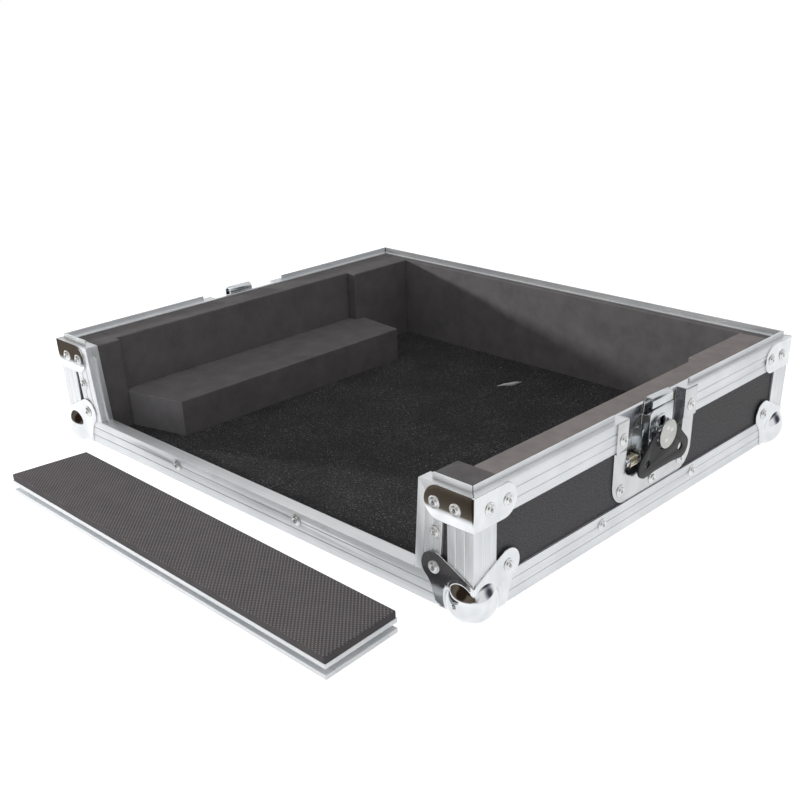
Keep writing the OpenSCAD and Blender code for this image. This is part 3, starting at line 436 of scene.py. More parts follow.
def felted_carpet(name):
    """Needle-punched polyester carpet: near-black fibres lying every way in tufts 1.5 mm
    across, with pale lint specks 5 mm apart, and a short slit whose raised lip carries a
    painted highlight, a pale crescent 31 mm long."""
    material, tree, where = new_material(name)
    fibre = add(tree, "ShaderNodeTexNoise", {"Vector": where}, in_Scale=1 / (1.5 * MM), in_Detail=5.0,
                in_Roughness=0.75, in_Distortion=0.8)
    worn = add(tree, "ShaderNodeTexNoise", {"Vector": where}, in_Scale=1 / (60 * MM), in_Detail=3.0)
    both = add(tree, "ShaderNodeMix", {"A": fibre.outputs[0], "B": worn.outputs[0]},
               data_type="FLOAT", in_Factor=0.1)
    colour = add(tree, "ShaderNodeValToRGB", {"Fac": both},
                 stops=[(0.4, "#060607"), (0.5, "#1a1a1b"), (0.58, "#363638"), (0.66, "#8c8c8f")])
    lint = add(tree, "ShaderNodeTexVoronoi", {"Vector": where}, in_Scale=1 / (5 * MM))
    speck = add(tree, "ShaderNodeMath", {0: lint.outputs[0]}, operation="LESS_THAN", in_1=0.055)
    mixed = add(tree, "ShaderNodeMix", {"Factor": speck, "A": colour}, data_type="RGBA")
    mixed.inputs["B"].default_value = linear("#a8a39e")
    turned = add(tree, "ShaderNodeMapping", {"Vector": where}, vector_type="TEXTURE",
                 in_Location=[*SLIT[:2], 0.0], in_Rotation=(0.0, 0.0, SLIT_TURN),
                 in_Scale=(1.3 * MM, 1.7 * MM, 1.0))
    parts = add(tree, "ShaderNodeSeparateXYZ", {"Vector": turned})
    square = add(tree, "ShaderNodeMath", {0: parts.outputs[0], 1: parts.outputs[0]},
                 operation="MULTIPLY")
    bow = add(tree, "ShaderNodeMath", {0: square, 2: parts.outputs[1]}, operation="MULTIPLY_ADD",
              in_1=-SLIT_BOW)
    off = add(tree, "ShaderNodeMath", {0: bow}, operation="ABSOLUTE")
    taper = add(tree, "ShaderNodeMath", {0: square}, operation="MULTIPLY_ADD", in_1=-0.021, in_2=3.0)
    width = add(tree, "ShaderNodeMath", {0: taper}, operation="MAXIMUM", in_1=0.01)
    # Painted highlight: a pale crescent along the slit's raised lip
    lip_highlight = add(tree, "ShaderNodeMapRange", {"Value": off, 2: width}, interpolation_type="SMOOTHSTEP",
               in_1=0.0, in_3=1.0, in_4=0.0)
    lip = add(tree, "ShaderNodeMix", {"Factor": lip_highlight, "A": mixed.outputs["Result"]}, data_type="RGBA")
    lip.inputs["B"].default_value = linear("#b9b9be")
    bump = add(tree, "ShaderNodeBump", {"Height": fibre.outputs[0]}, in_Distance=1.2 * MM)
    felt = add(tree, "ShaderNodeBsdfPrincipled", {"Base Color": lip.outputs["Result"], "Normal": bump},
               in_Roughness=0.95, in_Specular_IOR_Level=0.2, in_Sheen_Weight=0.06)
    add(tree, "ShaderNodeOutputMaterial", {"Surface": felt})
    return material


def powder_coat(name):
    """Black powder coat on steel: satin, with an orange-peel surface 1.5 mm across that
    blurs what it mirrors."""
    material, tree, where = new_material(name)
    peel = add(tree, "ShaderNodeTexNoise", {"Vector": where}, in_Scale=1 / (1.5 * MM), in_Detail=2.0)
    colour = add(tree, "ShaderNodeValToRGB", {"Fac": peel.outputs[0]},
                 stops=[(0.3, "#19191c"), (0.7, "#202023")])
    bump = add(tree, "ShaderNodeBump", {"Height": peel.outputs[0]}, in_Strength=0.5,
               in_Distance=0.03 * MM)
    coat = add(tree, "ShaderNodeBsdfPrincipled", {"Base Color": colour, "Normal": bump},
               in_Roughness=0.42, in_Specular_IOR_Level=0.25)
    add(tree, "ShaderNodeOutputMaterial", {"Surface": coat})
    return material


BARS_ALONG_X = drawn_aluminium("drawn_aluminium_across", 0)
BARS_ALONG_Y = drawn_aluminium("drawn_aluminium_deep", 1)
BARS_UPRIGHT = drawn_aluminium("drawn_aluminium_upright", 2)
CHANNEL_ALONG_X = drawn_aluminium("brushed_channel_across", 0, 0.35)
CHANNEL_ALONG_Y = drawn_aluminium("brushed_channel_deep", 1, 0.2)
CORNER_NICKEL = plated_steel("nickel_plated_ball_corner", "#d0d3d6", "#dee0e2", 0.04, 0.1)
WING_NICKEL = plated_steel("nickel_plated_wing", "#d0d3d6", "#dee0e2", 0.06, 0.12,
                           lean=(-11.0, 25.0, 0.3, 0.05, 1))
BRACE_NICKEL = plated_steel("nickel_plated_brace", "#d0d3d6", "#dee0e2", 0.05, 0.12,
                            lean=(61.0, 89.7, 0.12, 0.71, 1))
RIVET_NICKEL = plated_steel("nickel_plated_rivet", "#d6d7d8", "#e2e3e3", 0.34, 0.44)
DISH_ZINC = plated_steel("zinc_plated_dish", "#bebfc1", "#c8c9ca", 0.2, 0.24, 0.008)
BACK_ZINC = plated_steel("zinc_plated_dish_back", "#c3c7ca", "#ced1d3", 0.2, 0.26, 0.004,
                         lean=(64.0, 90.0, 0.25, 0.75, 0))
LATCH_ZINC = plated_steel("zinc_plated_latch", "#bcc0c4", "#ccd0d2", 0.18, 0.24, 0.006)
CAP_ZINC = plated_steel("zinc_plated_cap", "#acaca9", "#b9b9b5", 0.3, 0.36, 0.008)
GOLD_WIRE = plated_steel("yellow_passivated_wire", "#cfc5ac", "#ebe8df", 0.12, 0.2)
LAMINATE = grained_laminate("melamine_on_plywood")
LEFT_FOAM = cell_foam("closed_cell_foam", "#525051", "#605d5e")
# The hatched foams below carry a painted highlight on the tips of their embossed dots
HATCHED_FOAM = cell_foam("hatched_closed_cell_foam", "#525051", "#605d5e",
                         ((1, 2), 45, 2.6), weight=0.4)
# A lighter copy of the same foam, as painted light on the right-hand pieces
PAINTED_LIT_FOAM = cell_foam("closed_cell_foam_painted_lit", "#6f6a69", "#7f7977")
# A lighter copy of the same foam, as painted light on the step's end towards the opening
PAINTED_LIT_END_FOAM = cell_foam("foam_end_painted_lit", "#6d6b6d", "#7b797b")
PANEL_FOAM = cell_foam("ribbed_closed_cell_foam", "#454244", "#4f4c4d", ((0, 1), 45, 2.6),
                       tip_highlight="#8f8b8a", weight=0.9, on="GREATER_THAN")
CARPET = felted_carpet("needle_punch_carpet")
COAT = powder_coat("black_powder_coat")


def repaint(piece, material, axis, least, where=None):
    """Gives a piece's flats that look along an axis a material of their own, or only those
    whose middles pass a test."""
    count = len(piece.data.polygons)
    middle, normal = np.empty(count * 3), np.empty(count * 3)
    piece.data.polygons.foreach_get("center", middle)
    piece.data.polygons.foreach_get("normal", normal)
    chosen = np.abs(normal[axis::3]) > least
    if where:
        chosen &= where(middle.reshape(-1, 3))
    piece.data.materials.append(material)
    piece.data.polygons.foreach_set("material_index", chosen.astype(np.int32))


# Boards and extrusions

for node in ("floor_board", "left_wall_board", "right_wall_board", "back_wall_board",
             "front_left_board", "front_right_board", "sill_board", "panel_board"):
    NODES[node].data.materials.clear()
    NODES[node].data.materials.append(LAMINATE)

BARS = {
    BARS_ALONG_X: ("back_bottom_rail", "front_sill", "back_top_rail", "front_left_top_rail",
                   "front_right_top_rail"),
    BARS_ALONG_Y: ("left_bottom_rail", "right_bottom_rail", "left_top_rail", "right_top_rail"),
    CHANNEL_ALONG_X: ("panel_top_channel", "panel_bottom_channel"),
    CHANNEL_ALONG_Y: ("panel_left_channel", "panel_right_channel"),
    BARS_UPRIGHT: ("front_left_angle", "front_right_angle", "back_right_angle",
                   "back_left_angle", "left_guide", "right_guide"),
}
for material, nodes in BARS.items():
    for node in nodes:
        soften(node, 0.25, material)


# Foam lining

def foam_slab(node, corners, low, high, material):
    """Knife-cut foam over a plan outline given in metres: its upright corners are arcs, its
    lower edges are crisp and its upper edges are worn round."""
    upright, crisp, worn = 1.2 * MM, 0.2 * MM, 1.1 * MM
    outline, normals = rounded_outline(corners, upright)
    points, faces = join_rings(slab(outline, normals, low, high, crisp, worn))
    piece = outward(mesh_piece(node + "_block", points, faces, smooth=False))
    return stand_for(piece, node, material)


def foam_block(node, material):
    """Foam slab over the whole of a node's box."""
    low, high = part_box(node)
    corners = [(low.x, low.y), (high.x, low.y), (high.x, high.y), (low.x, high.y)]
    return foam_slab(node, corners, low.z, high.z, material)


for node in ("left_front_foam", "left_back_foam", "back_foam_liner", "right_front_foam"):
    foam_block(node, LEFT_FOAM)
# The right-hand pieces take the painted lit copy of the foam
for node in ("right_foam_strip", "right_back_foam"):
    foam_block(node, PAINTED_LIT_FOAM)
foam_block("left_foam_strip", HATCHED_FOAM)

# Plan of the low step, in tray millimetres; its end towards the opening is painted a lighter grey as
# painted light
STEP_PLAN = [(43.8, 38.8), (51.8, 38.8), (118, 56), (118, 356), (55.8, 363), (55.8, 351),
             (43.8, 351)]
step_low, step_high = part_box("step_foam")
step = foam_slab("step_foam", to_frame([(x, y, 0) for x, y in STEP_PLAN])[:, :2],
                 step_low.z, step_high.z, LEFT_FOAM)
# Painted light: the step's end towards the opening takes the lighter foam
repaint(step, PAINTED_LIT_END_FOAM, 1, 0.9, lambda at: at[:, 1] < 0)


# Carpet

# Its plan in tray millimetres, round the foam pieces
CARPET_PLAN = np.array([
    (51.8, 12.8), (493.2, 12.8), (493.2, 40.8), (508.2, 40.8), (508.2, 343), (502.2, 343),
    (502.2, 436.6), (55.8, 436.6), (55.8, 363), (118, 356), (118, 56), (51.8, 38.8)])


def inside_plan(plan, point):
    """Whether a point lies inside a closed outline: a ray to the right of it crosses the
    outline an odd number of times."""
    ax, ay = plan.T
    bx, by = np.roll(plan, -1, 0).T
    spans = (ay > point.y) != (by > point.y)
    cross = ax + (point.y - ay) / np.where(by == ay, 1, by - ay) * (bx - ax)
    return np.sum(spans & (cross > point.x)) % 2 == 1


def carpet_sheet():
    """Carpet cut to fit between the foam pieces: a grid clipped to the plan and finer round
    the slit, whose pile rises and falls at random. The slit's lip curls up as a ridge and
    its gap falls as a trough, each the product of a bell curve along the slit and another
    across it, and a skirt runs down to the board."""
    grid, before, beyond = 3.2 * MM, 2 * MM, 5 * MM
    fine = np.linspace(-15, 15, 27) * MM
    pile, half_slit = 0.3, 12.0
    lip_height, lip_width, cut_depth, cut_width, cut_place = 2.8, 3.4, 1.6, 2.6, 7.0
    low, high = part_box("carpet")
    plan = to_frame(np.column_stack([CARPET_PLAN, np.zeros(len(CARPET_PLAN))]))[:, :2]
    xs = np.sort(np.append(np.arange(low.x - before, high.x + beyond, grid), SLIT[0] + fine))
    ys = np.sort(np.append(np.arange(low.y - before, high.y + beyond, grid), SLIT[1] + fine))
    x, y = np.meshgrid(xs, ys, indexing="ij")
    rng = np.random.default_rng(7)
    c, s = math.cos(SLIT_TURN) / MM, math.sin(SLIT_TURN) / MM
    along = (x - SLIT[0]) * c + (y - SLIT[1]) * s
    across = (y - SLIT[1]) * c - (x - SLIT[0]) * s - SLIT_BOW * along ** 2
    ends = np.exp(-(along / half_slit) ** 4)
    lip = lip_height * ends * np.exp(-(across / lip_width) ** 2) * MM
    cut = cut_depth * ends * np.exp(-((across - cut_place) / cut_width) ** 2) * MM
    z = high.z + rng.uniform(-pile, 0.0, x.shape) * MM + lip - cut
    sheet = mesh_piece("carpet_sheet", np.stack([x, y, z], -1).reshape(-1, 3), grid_faces(*x.shape))
    bm = bmesh.new()
    bm.from_mesh(sheet.data)
    for (ax, ay), (bx, by) in zip(plan, np.roll(plan, -1, 0)):
        side = Vector((by - ay, ax - bx, 0)).normalized()
        geometry = bm.verts[:] + bm.edges[:] + bm.faces[:]
        bmesh.ops.bisect_plane(bm, geom=geometry, dist=1e-7, plane_co=(ax, ay, 0), plane_no=side)
    outside = [f for f in bm.faces if not inside_plan(plan, f.calc_center_median())]
    bmesh.ops.delete(bm, geom=outside, context="FACES")
    rim = [e for e in bm.edges if e.is_boundary]
    skirt = bmesh.ops.extrude_edge_only(bm, edges=rim)["geom"]
    for vert in (v for v in skirt if isinstance(v, bmesh.types.BMVert)):
        vert.co.z = low.z
    under = [e for e in bm.edges if e.is_boundary]
    bmesh.ops.contextual_create(bm, geom=under)
    bmesh.ops.recalc_face_normals(bm, faces=bm.faces)
    bm.to_mesh(sheet.data)
    bm.free()
    return stand_for(sheet, "carpet", CARPET)


carpet_sheet()


# Corner hardware

# The ball's radius and how far in its middle lies
BALL_R, BALL_IN = 20.0, 11.6
# The wing's rivet from the corner and its height, the lobe's radius round it, the height
# of the vee between two wings, and the turn in degrees at which the lobe ends
WING_S, WING_Z, WING_R, WING_VEE, WING_STOP = 37.5, 32.5, 13.0, 28.0, -40.0
# How far the plate under the tray reaches along both edges
FOOT = WING_S - 1
# Radii of the rolled rim, of the folds between the planes and of the crease at the ball
RIM, EDGE, CREASE = 0.45, 6.0, 2.4


def quadratic(a, b, c, steps):
    """Points of the curve that leaves a towards b and ends at c:
    (1-s)^2 a + 2s(1-s) b + s^2 c."""
    s = np.linspace(0, 1, steps)[:, None]
    return (1 - s) ** 2 * np.asarray(a) + 2 * s * (1 - s) * np.asarray(b) + s * s * np.asarray(c)


def outline_normals(outline, free):
    """Unit normals out of a closed outline from its central differences, zero but where the
    rim is free."""
    ahead = np.roll(outline, -1, 0) - np.roll(outline, 1, 0)
    ahead /= np.maximum(np.linalg.norm(ahead, axis=1), 1e-9)[:, None]
    x, y = outline[:, 0], outline[:, 1]
    turn = np.sign(np.sum(x * np.roll(y, -1) - y * np.roll(x, -1)))
    normals = np.stack([ahead[:, 1], -ahead[:, 0]], -1) * turn
    held = np.ones(len(outline), bool)
    held[list(free)[1:-1]] = False
    normals[held] = 0.0
    return normals


def wing_outline():
    """Outline of one wing in (distance from the corner, height), and the stretch where its rim
    is free: up the corner to the vee, up to the lobe round the rivet, round it, and back down
    a hollow curve to the foot."""
    above = WING_Z - WING_VEE
    rise = math.atan2(above, WING_S) + math.asin(WING_R / math.hypot(WING_S, above))
    t = np.linspace(math.pi / 2 + rise, math.radians(WING_STOP), 34)
    lobe = np.array([WING_S, WING_Z]) + WING_R * np.stack([np.cos(t), np.sin(t)], -1)
    seam = np.stack([np.full(14, -STEEL), np.linspace(-STEEL, WING_VEE, 14)], -1)
    line = np.linspace(seam[-1], lobe[0], 18)[1:-1]
    hollow = quadratic(lobe[-1], (WING_S + 1, lobe[-1, 1] - 7), (FOOT, -STEEL), 14)[1:]
    sole = np.stack([np.linspace(FOOT, -STEEL, 18), np.full(18, -STEEL)], -1)[1:-1]
    outline = np.concatenate([seam, line, lobe, hollow, sole])
    return outline, range(len(seam) - 1, len(outline) - len(sole))


def foot_outline():
    """Outline of the plate under the tray, a quarter curve between the two wings, and the
    stretch where its rim is free."""
    curve = quadratic((FOOT, -STEEL), (FOOT, FOOT), (-STEEL, FOOT), 22)
    back = np.stack([np.full(18, -STEEL), np.linspace(FOOT, -STEEL, 18)], -1)[1:]
    out = np.stack([np.linspace(-STEEL, FOOT, 18), np.full(18, -STEEL)], -1)[1:-1]
    return np.concatenate([curve, back, out]), range(22)


def eased_max(a, b, k):
    """The larger of two values, eased over k where they are nearly equal."""
    h = np.maximum(k - np.abs(a - b), 0) / k
    return np.maximum(a, b) + h * h * k / 4


def corner_skin(outline, normals, steps=34):
    """One face of the pressed corner in (a, b, height out of the face).

    Rays leave the ball's centre for a fan of points on the face's outer plane. Along each
    ray the box of the three outer planes ends at the least of three distances, eased so that
    its edges are round, and the skin lies at the eased larger of that and the ball's radius.
    Its free rim then turns down round a quarter circle to the tray."""
    centre, reach = np.array([BALL_IN, BALL_IN]), BALL_IN + STEEL
    t = np.linspace(0.004, 1, steps)[:, None, None]
    flat = centre + t * (outline - RIM * normals - centre)
    ray = np.concatenate([flat - centre, np.full((*flat.shape[:2], 1), reach)], -1)
    length = np.linalg.norm(ray, axis=-1)
    way = ray / length[..., None]
    planes = np.stack([length, reach / np.maximum(-way[..., 0], 1e-3),
                       reach / np.maximum(-way[..., 1], 1e-3)], -1)
    first, second, third = np.moveaxis(np.sort(planes, -1), -1, 0)
    box = -eased_max(-third, eased_max(-first, -second, EDGE), EDGE)
    hit = way * eased_max(BALL_R, box, CREASE)[..., None]
    skin = np.concatenate([hit[..., :2] + centre, hit[..., 2:] - BALL_IN], -1)
    t = np.linspace(0, math.pi / 2, 5)[1:, None, None]
    plan = skin[-1:, :, :2] + RIM * np.sin(t) * normals
    fall = RIM * (1 - np.cos(t)) * np.ones((1, len(normals), 1))
    rim = np.concatenate([plan, skin[-1:, :, 2:] - fall], -1)
    last = rim[-1:].copy()
    last[..., 2] = np.minimum(last[..., 2], 0.02)
    return np.concatenate([skin, rim, last]), steps


def ball_corner(node, k):
    """Pressed ball corner: three skins, two wings and a foot, that meet along the tray's
    edges, each with its rolled rim."""
    length = FACE_LENGTH[k]
    points, faces, start = [], [], 0
    for which in range(3):
        outline, free = wing_outline() if which < 2 else foot_outline()
        skin, steps = corner_skin(outline, outline_normals(outline, free))
        a, b, h = np.moveaxis(skin, -1, 0)
        local = [(length - a, -h, b), (length + h, a, b), (length - a, b, -h)][which]
        rows, cols = a.shape
        points.append(on_face(k, np.stack(local, -1)).reshape(-1, 3))
        faces += grid_faces(steps, cols, start, close=True)
        faces.append([start + j for j in range(cols)])
        rim = np.arange(steps - 1, rows - 1)[:, None] * cols + np.array(free[:-1])[None] + start
        faces += np.stack([rim, rim + 1, rim + cols + 1, rim + cols], -1).reshape(-1, 4).tolist()
        start += rows * cols
    piece = outward(mesh_piece(node + "_pressing", to_frame(np.concatenate(points)), faces),
                    near=2e-5)
    stand_for(piece, node, CORNER_NICKEL)
    repaint(piece, WING_NICKEL, 1, 0.995)


def corner_brace(node, k):
    """Corner brace: a strip bent round the tray's edge with both ends round. Across the strip
    its height runs between the edge curves; near an edge the plate's thickness falls away
    as a quarter circle."""
    length, low, high, reach, r = FACE_LENGTH[k], 72.0, 100.0, 46.0, 14.0
    round_r, bend = 0.6, 1.0
    t = np.linspace(0, math.pi / 2, 16)
    w = np.concatenate([-reach + r - r * np.cos(t), np.linspace(-reach + r, -bend, 10)[1:],
                        np.linspace(-bend, bend, 9)[1:-1], np.linspace(bend, reach - r, 10),
                        reach - r + r * np.sin(t)[1:]])
    beyond = np.maximum(np.abs(w) - (reach - r), 0)
    half = np.sqrt(np.maximum(r * r - beyond * beyond, 1e-4))
    edge = np.minimum(round_r, half * 0.9)
    t = np.linspace(0, math.pi / 2, 6)
    inset = np.concatenate([[0], 1 - np.cos(t)])
    lift = np.concatenate([[0], STEEL - round_r * (1 - np.sin(t))])
    middle = (low + high) / 2
    across = np.linspace(-1, 1, 9)[1:-1]
    z = np.concatenate([middle - half + edge * inset[:, None],
                        middle + across[:, None] * (half - edge),
                        middle + half - edge * inset[::-1, None]]).T
    h = np.concatenate([lift, np.full(len(across), STEEL), lift[::-1]])[None] * np.ones((len(w), 1))
    w = np.broadcast_to(w[:, None], z.shape)
    angle = np.clip((w + bend) / (2 * bend), 0, 1) * math.pi / 2
    s = np.where(w <= -bend, length + w,
                 np.where(w >= bend, length + h, length + h * np.sin(angle)))
    u = np.where(w <= -bend, -h, np.where(w >= bend, w, -h * np.cos(angle)))
    points = on_face(k, np.stack([s, u, z], -1)).reshape(-1, 3)
    piece = outward(mesh_piece(node + "_leaf", to_frame(points), grid_faces(*z.shape)))
    return stand_for(piece, node, BRACE_NICKEL)


for place, k in {"front_left": 3, "front_right": 0, "back_right": 1, "back_left": 2}.items():
    ball_corner(place + "_ball_corner", k)
    corner_brace(place + "_brace", k)


# Rivets

# Their places along a face and heights: two in each end of a brace, two in each bottom rail
# of the front and back and of the sides, one in each guide, and five round a latch, whose
# places count from its middle and whose lower three lie in the dish's recessed foot
BRACE_RIVETS, BRACE_RIVET_Z = (16, 36), 86
RAIL_RIVETS, SIDE_RIVETS, RAIL_RIVET_Z = (183, 350), (158, 295), 17
GUIDE_RIVET, GUIDE_RIVET_Z = 37, 61
LATCH_RIVETS = ((-50, 84.5, STEEL), (50, 84.5, STEEL), (-47, 38, -0.7), (0, 33, -0.7),
                (43, 37, -0.7))
LATCH_S = CASE[1] / 2 + 1


def rivet_places():
    """[face, along, height, lift] of every rivet, by the same rules as the source."""
    rows = []
    for k in range(4):
        n = FACE_LENGTH[k]
        near = BRACE_RIVETS + tuple(n - s for s in BRACE_RIVETS[::-1])
        rows += [(k, s, BRACE_RIVET_Z, STEEL) for s in near]
        rows += [(k, s, WING_Z, STEEL) for s in (WING_S, n - WING_S)]
        rail = SIDE_RIVETS if k % 2 else RAIL_RIVETS
        rows += [(k, s if k < 2 else n - s, RAIL_RIVET_Z, 0) for s in rail]
        if k == 0:
            rows += [(k, s, GUIDE_RIVET_Z, 0) for s in (GUIDE_RIVET, n - GUIDE_RIVET)]
        if k % 2:
            rows += [(k, LATCH_S + s, z, lift) for s, z, lift in LATCH_RIVETS]
    return rows


def rivet_heads():
    """Domed rivets: a flat flange with a rounded rim, a shallow valley, a ring that rises as
    a half circle and a pierced middle, each turned about its own axis."""
    t = np.linspace(0, math.pi, 9)
    flange = [[5.2, 0.0], [5.25, 0.3], [5.1, 0.55], [4.8, 0.68], [4.1, 0.62]]
    ring = np.stack([2.45 + 1.25 * np.cos(t), 0.75 + 1.4 * np.sin(t)], -1)
    profile = np.concatenate([flange, ring, [[1.0, 0.3], [0.95, -0.4]]])
    points, faces = lathe(profile, 28)
    all_points, all_faces = [], []
    for i, (k, s, z, lift) in enumerate(rivet_places()):
        local = np.stack([s + points[:, 0], -lift - points[:, 2], z + points[:, 1]], -1)
        all_points.append(on_face(k, local))
        all_faces += [[j + i * len(points) for j in f] for f in faces]
    piece = outward(mesh_piece("rivet_heads", to_frame(np.concatenate(all_points)), all_faces))
    return stand_for(piece, "rivets", RIVET_NICKEL)


rivet_heads()


# Latches

# The dish's pocket: half its width, the height of its bottom, and its depth
POCKET_HALF, POCKET_Z, POCKET_DEPTH = 42.0, 48.0, 9.6
# The hub's middle along its face and its height, its cap's radius, how far the cap stands
# out, and the turns in degrees, the ring and the depth of the dents that stake it
HUB_S, HUB_Z, CAP_R, CAP_OUT = 235.0, 73.4, 12.3, 8.2
DENT_TURNS, DENT_RING, DENT_DEPTH = (25, 100, 245), 5.6, 1.1
# How far the bracket's ear stands from the middle, towards the spring
EAR_S = 21.2


def pocket_lips(k):
    """Picks the two upright edges where the dish's ears bend back into its pocket."""
    ends = to_frame(on_face(k, [(LATCH_S + way * POCKET_HALF, -STEEL, 0) for way in (-1, 1)]))

    def on_lip(edge):
        a, b = (v.co for v in edge.verts)
        upright = abs(a.x - b.x) < 1e-5 and abs(a.y - b.y) < 1e-5
        return upright and any(abs(a.x - x) < 2e-5 and abs(a.y - y) < 2e-5 for x, y, _ in ends)
    return on_lip


def hub_cap(side, k):
    """Face of the hub's cap with the three dents that stake it: a polar grid whose height is
    a flat disc with a rounded rim, less a small bell curve at each dent."""
    rows, cols = 26, 72
    r = (CAP_R - 0.1) * np.linspace(0.01, 1, rows)[:, None]
    t = np.arange(cols)[None] * 2 * math.pi / cols
    s, z = r * np.cos(t), r * np.sin(t)
    height = 0.12 * (1 - (r / CAP_R) ** 10) * np.ones_like(t)
    for turn in DENT_TURNS:
        ds = s - DENT_RING * math.cos(math.radians(turn))
        dz = z - DENT_RING * math.sin(math.radians(turn))
        height = height - DENT_DEPTH * np.exp(-(ds / 1.9) ** 4 - (dz / 1.2) ** 4)
    face = np.stack([HUB_S + s, -CAP_OUT - height, HUB_Z + z], -1)
    back = face[-1:].copy()
    back[..., 1] = -CAP_OUT + 0.2
    points, faces = join_rings(np.concatenate([face, back]))
    piece = outward(mesh_piece(side + "_hub_cap_face", to_frame(on_face(k, points)), faces))
    return stand_for(piece, side + "_latch_hub", CAP_ZINC)


def latch_spring(side, k):
    """Torsion spring: a helix of five curls round its post, a straight leg at each end, and a
    round wire carried along that line."""
    wire, mean, pitch, curls, clear, step_off = 0.6, 4.2, 2.2, 5, 0.3, 2
    start = LATCH_S - EAR_S - clear - wire - curls * pitch - step_off
    post_u, post_z = POCKET_DEPTH / 2 - 0.4, POCKET_Z + 9.5
    a = np.linspace(0, 2 * math.pi * curls, curls * 28 + 1)
    coil = np.stack([start + pitch * a / (2 * math.pi), post_u + mean * np.sin(a),
                     post_z + mean * np.cos(a)], -1)
    out, back = post_u - 0.2 - 2 * wire, POCKET_DEPTH - post_u - wire - clear
    path = np.concatenate([coil[:1] + np.linspace([0, -out, 0], [0, -clear, 0], 8), coil,
                           coil[-1:] + np.linspace([0, clear, 0], [0, back, 0], 8)])
    points, faces = tube(on_face(k, path), wire)
    piece = outward(mesh_piece(side + "_spring_wire", to_frame(points), faces))
    return stand_for(piece, side + "_latch_spring", GOLD_WIRE)


def pocket_back(at):
    """Whether points lie in the back of either pocket."""
    return np.abs(at[:, 0]) < (CASE[0] / 2 - POCKET_DEPTH + 1.5) * MM


for side, k in (("right", 1), ("left", 3)):
    dish = soften(side + "_latch_dish", 0.5, DISH_ZINC, 3, pocket_lips(k), 3.2)
    repaint(dish, BACK_ZINC, 0, 0.9, pocket_back)
    for part, edge in (("bracket", 0.25), ("plate", 0.3), ("hook", 0.3), ("hub", 0.25)):
        soften(side + "_latch_" + part, edge, LATCH_ZINC)
    soften(side + "_latch_handle", 0.4, COAT, 3)
    hub_cap(side, k)
    latch_spring(side, k)


# Front panel

def panel_foam():
    """Ribbed foam on the panel: a slab that tapers from its near to its far edge, turned a
    little about the panel's middle, with softly rounded upper edges."""
    turn, depth, near, far, inset = math.radians(-0.8), 74.5, 219.5, 213.35, 0.35
    middle = [ORIGIN[0] + 17, -34 - depth / 2]
    corners = np.array([[inset - near, inset], [near - inset, inset],
                        [far - inset, depth - inset], [inset - far, depth - inset]])
    spin = np.array([[math.cos(turn), -math.sin(turn)], [math.sin(turn), math.cos(turn)]])
    plan = (corners - [0, depth / 2]) @ spin.T + middle
    low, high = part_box("panel_foam")
    flat = to_frame([(x, y, 0) for x, y in plan])[:, :2]
    return foam_slab("panel_foam", flat, low.z, high.z, PANEL_FOAM)


panel_foam()


# Studio and camera

def floor_paint():
    """White paper: half its light is its own, so that it keeps a pale shadow, and the camera
    and the metal see it lit up to white out to the horizon."""
    material = bpy.data.materials.new("white_paper")
    material.use_nodes = True
    tree = material.node_tree
    tree.nodes.clear()
    path = add(tree, "ShaderNodeLightPath")
    shown = add(tree, "ShaderNodeMath",
                {0: path.outputs["Is Camera Ray"], 1: path.outputs["Is Glossy Ray"]},
                operation="MAXIMUM")
    seen = add(tree, "ShaderNodeMath", {0: shown}, operation="MULTIPLY_ADD", in_1=0.3, in_2=0.5)
    paper = add(tree, "ShaderNodeBsdfDiffuse", in_Color=(0.5, 0.5, 0.5, 1))
    glow = add(tree, "ShaderNodeEmission", {"Strength": seen}, in_Color=(1, 1, 1, 1))
    lit = add(tree, "ShaderNodeAddShader", {0: paper, 1: glow})
    add(tree, "ShaderNodeOutputMaterial", {"Surface": lit})
    return material


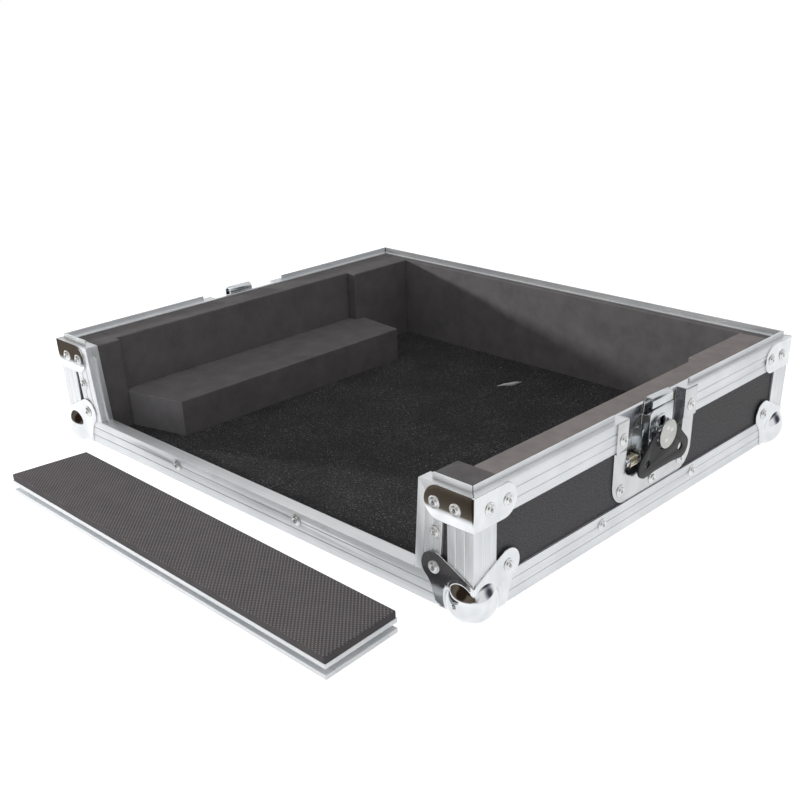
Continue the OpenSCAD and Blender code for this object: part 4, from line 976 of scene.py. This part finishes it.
def surroundings():
    """White to the camera, an even soft light to the surfaces, and to metal a white room whose
    front is dark brown above the paper, with one grey doorway at the right."""
    world = bpy.data.worlds.new("studio_room")
    SCENE.world = world
    world.use_nodes = True
    tree = world.node_tree
    tree.nodes.clear()
    where = add(tree, "ShaderNodeTexCoord")
    brown_front = ((-0.21, -0.86, 0.46), [(0.15, "#ffffff"), (0.36, "#4a3f34"),
                                          (0.86, "#6a6156"), (0.94, "#2c2119")])
    grey_doorway = ((0.74, 0.62, 0.26), [(0.86, "#ffffff"), (0.94, "#a8aaae"),
                                         (0.985, "#474b51")])
    sides = []
    for toward, stops in (brown_front, grey_doorway):
        dot = add(tree, "ShaderNodeVectorMath", {0: where.outputs["Generated"]},
                  operation="DOT_PRODUCT", in_1=toward)
        sides.append(add(tree, "ShaderNodeValToRGB", {"Fac": dot.outputs["Value"]}, stops=stops))
    high = add(tree, "ShaderNodeSeparateXYZ", {"Vector": where.outputs["Generated"]})
    above = add(tree, "ShaderNodeMapRange", {"Value": high.outputs[2]}, in_1=0.0, in_2=0.06)
    walls = add(tree, "ShaderNodeMix", {"A": sides[0], "B": sides[1]}, data_type="RGBA",
                blend_type="MULTIPLY", in_Factor=1.0)
    room = add(tree, "ShaderNodeMix", {"Factor": above, "B": walls.outputs["Result"]}, data_type="RGBA")
    room.inputs["A"].default_value = (1, 1, 1, 1)
    even = add(tree, "ShaderNodeBackground", in_Color=(1, 1, 1, 1), in_Strength=0.5)
    mirrored = add(tree, "ShaderNodeBackground", {"Color": room.outputs["Result"]})
    white = add(tree, "ShaderNodeBackground", in_Color=(1, 1, 1, 1))
    path = add(tree, "ShaderNodeLightPath")
    shiny = add(tree, "ShaderNodeMath",
                {0: path.outputs["Is Glossy Ray"], 1: path.outputs["Is Transmission Ray"]},
                operation="MAXIMUM")
    indoors = add(tree, "ShaderNodeMixShader", {0: shiny, 1: even, 2: mirrored})
    seen = add(tree, "ShaderNodeMixShader", {0: path.outputs["Is Camera Ray"], 1: indoors, 2: white})
    add(tree, "ShaderNodeOutputWorld", {"Surface": seen})


def studio():
    """Paper floor, the room, a small low lamp at the left, whose light grazes over the left
    wall and which metal doesn't mirror, and a wide lamp overhead."""
    floor_z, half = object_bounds()[0][2], 9.0
    corners = [(x * half, y * half, floor_z) for x, y in ((-1, -1), (1, -1), (1, 1), (-1, 1))]
    floor = mesh_piece("studio_floor", corners, [[0, 1, 2, 3]])
    floor.data.materials.append(floor_paint())
    surroundings()
    for name, place, size, power in (("low_lamp", (-2.21, -1.1, 0.50), 0.14, 74.0),
                                     ("overhead_lamp", (0.2, -0.3, 1.4), 1.3, 7.0)):
        lamp = bpy.data.lights.new(name, "AREA")
        lamp.size = size
        lamp.energy = power
        holder = bpy.data.objects.new(name, lamp)
        SCENE.collection.objects.link(holder)
        holder.location = place
        holder.visible_glossy = name != "low_lamp"
        aim = Vector((0, 0, 0.03)) - Vector(place)
        holder.rotation_euler = aim.to_track_quat("-Z", "Y").to_euler()


def photograph_camera():
    """The camera solved from the photograph, in the 800 by 800 frame."""
    lens = bpy.data.cameras.new("photograph_camera")
    lens.lens = 48.2029
    lens.sensor_width = 36.0
    lens.shift_x = -0.03048
    lens.shift_y = 0.1875
    lens.clip_start = 0.01
    lens.clip_end = 50
    holder = bpy.data.objects.new("photograph_camera", lens)
    SCENE.collection.objects.link(holder)
    holder.location = (0.69983, -0.72072, 0.41349)
    holder.rotation_euler = [math.radians(a) for a in (60.8604, 1.2557, 43.3129)]
    SCENE.camera = holder


studio()
photograph_camera()
SCENE.view_settings.view_transform = "Standard"
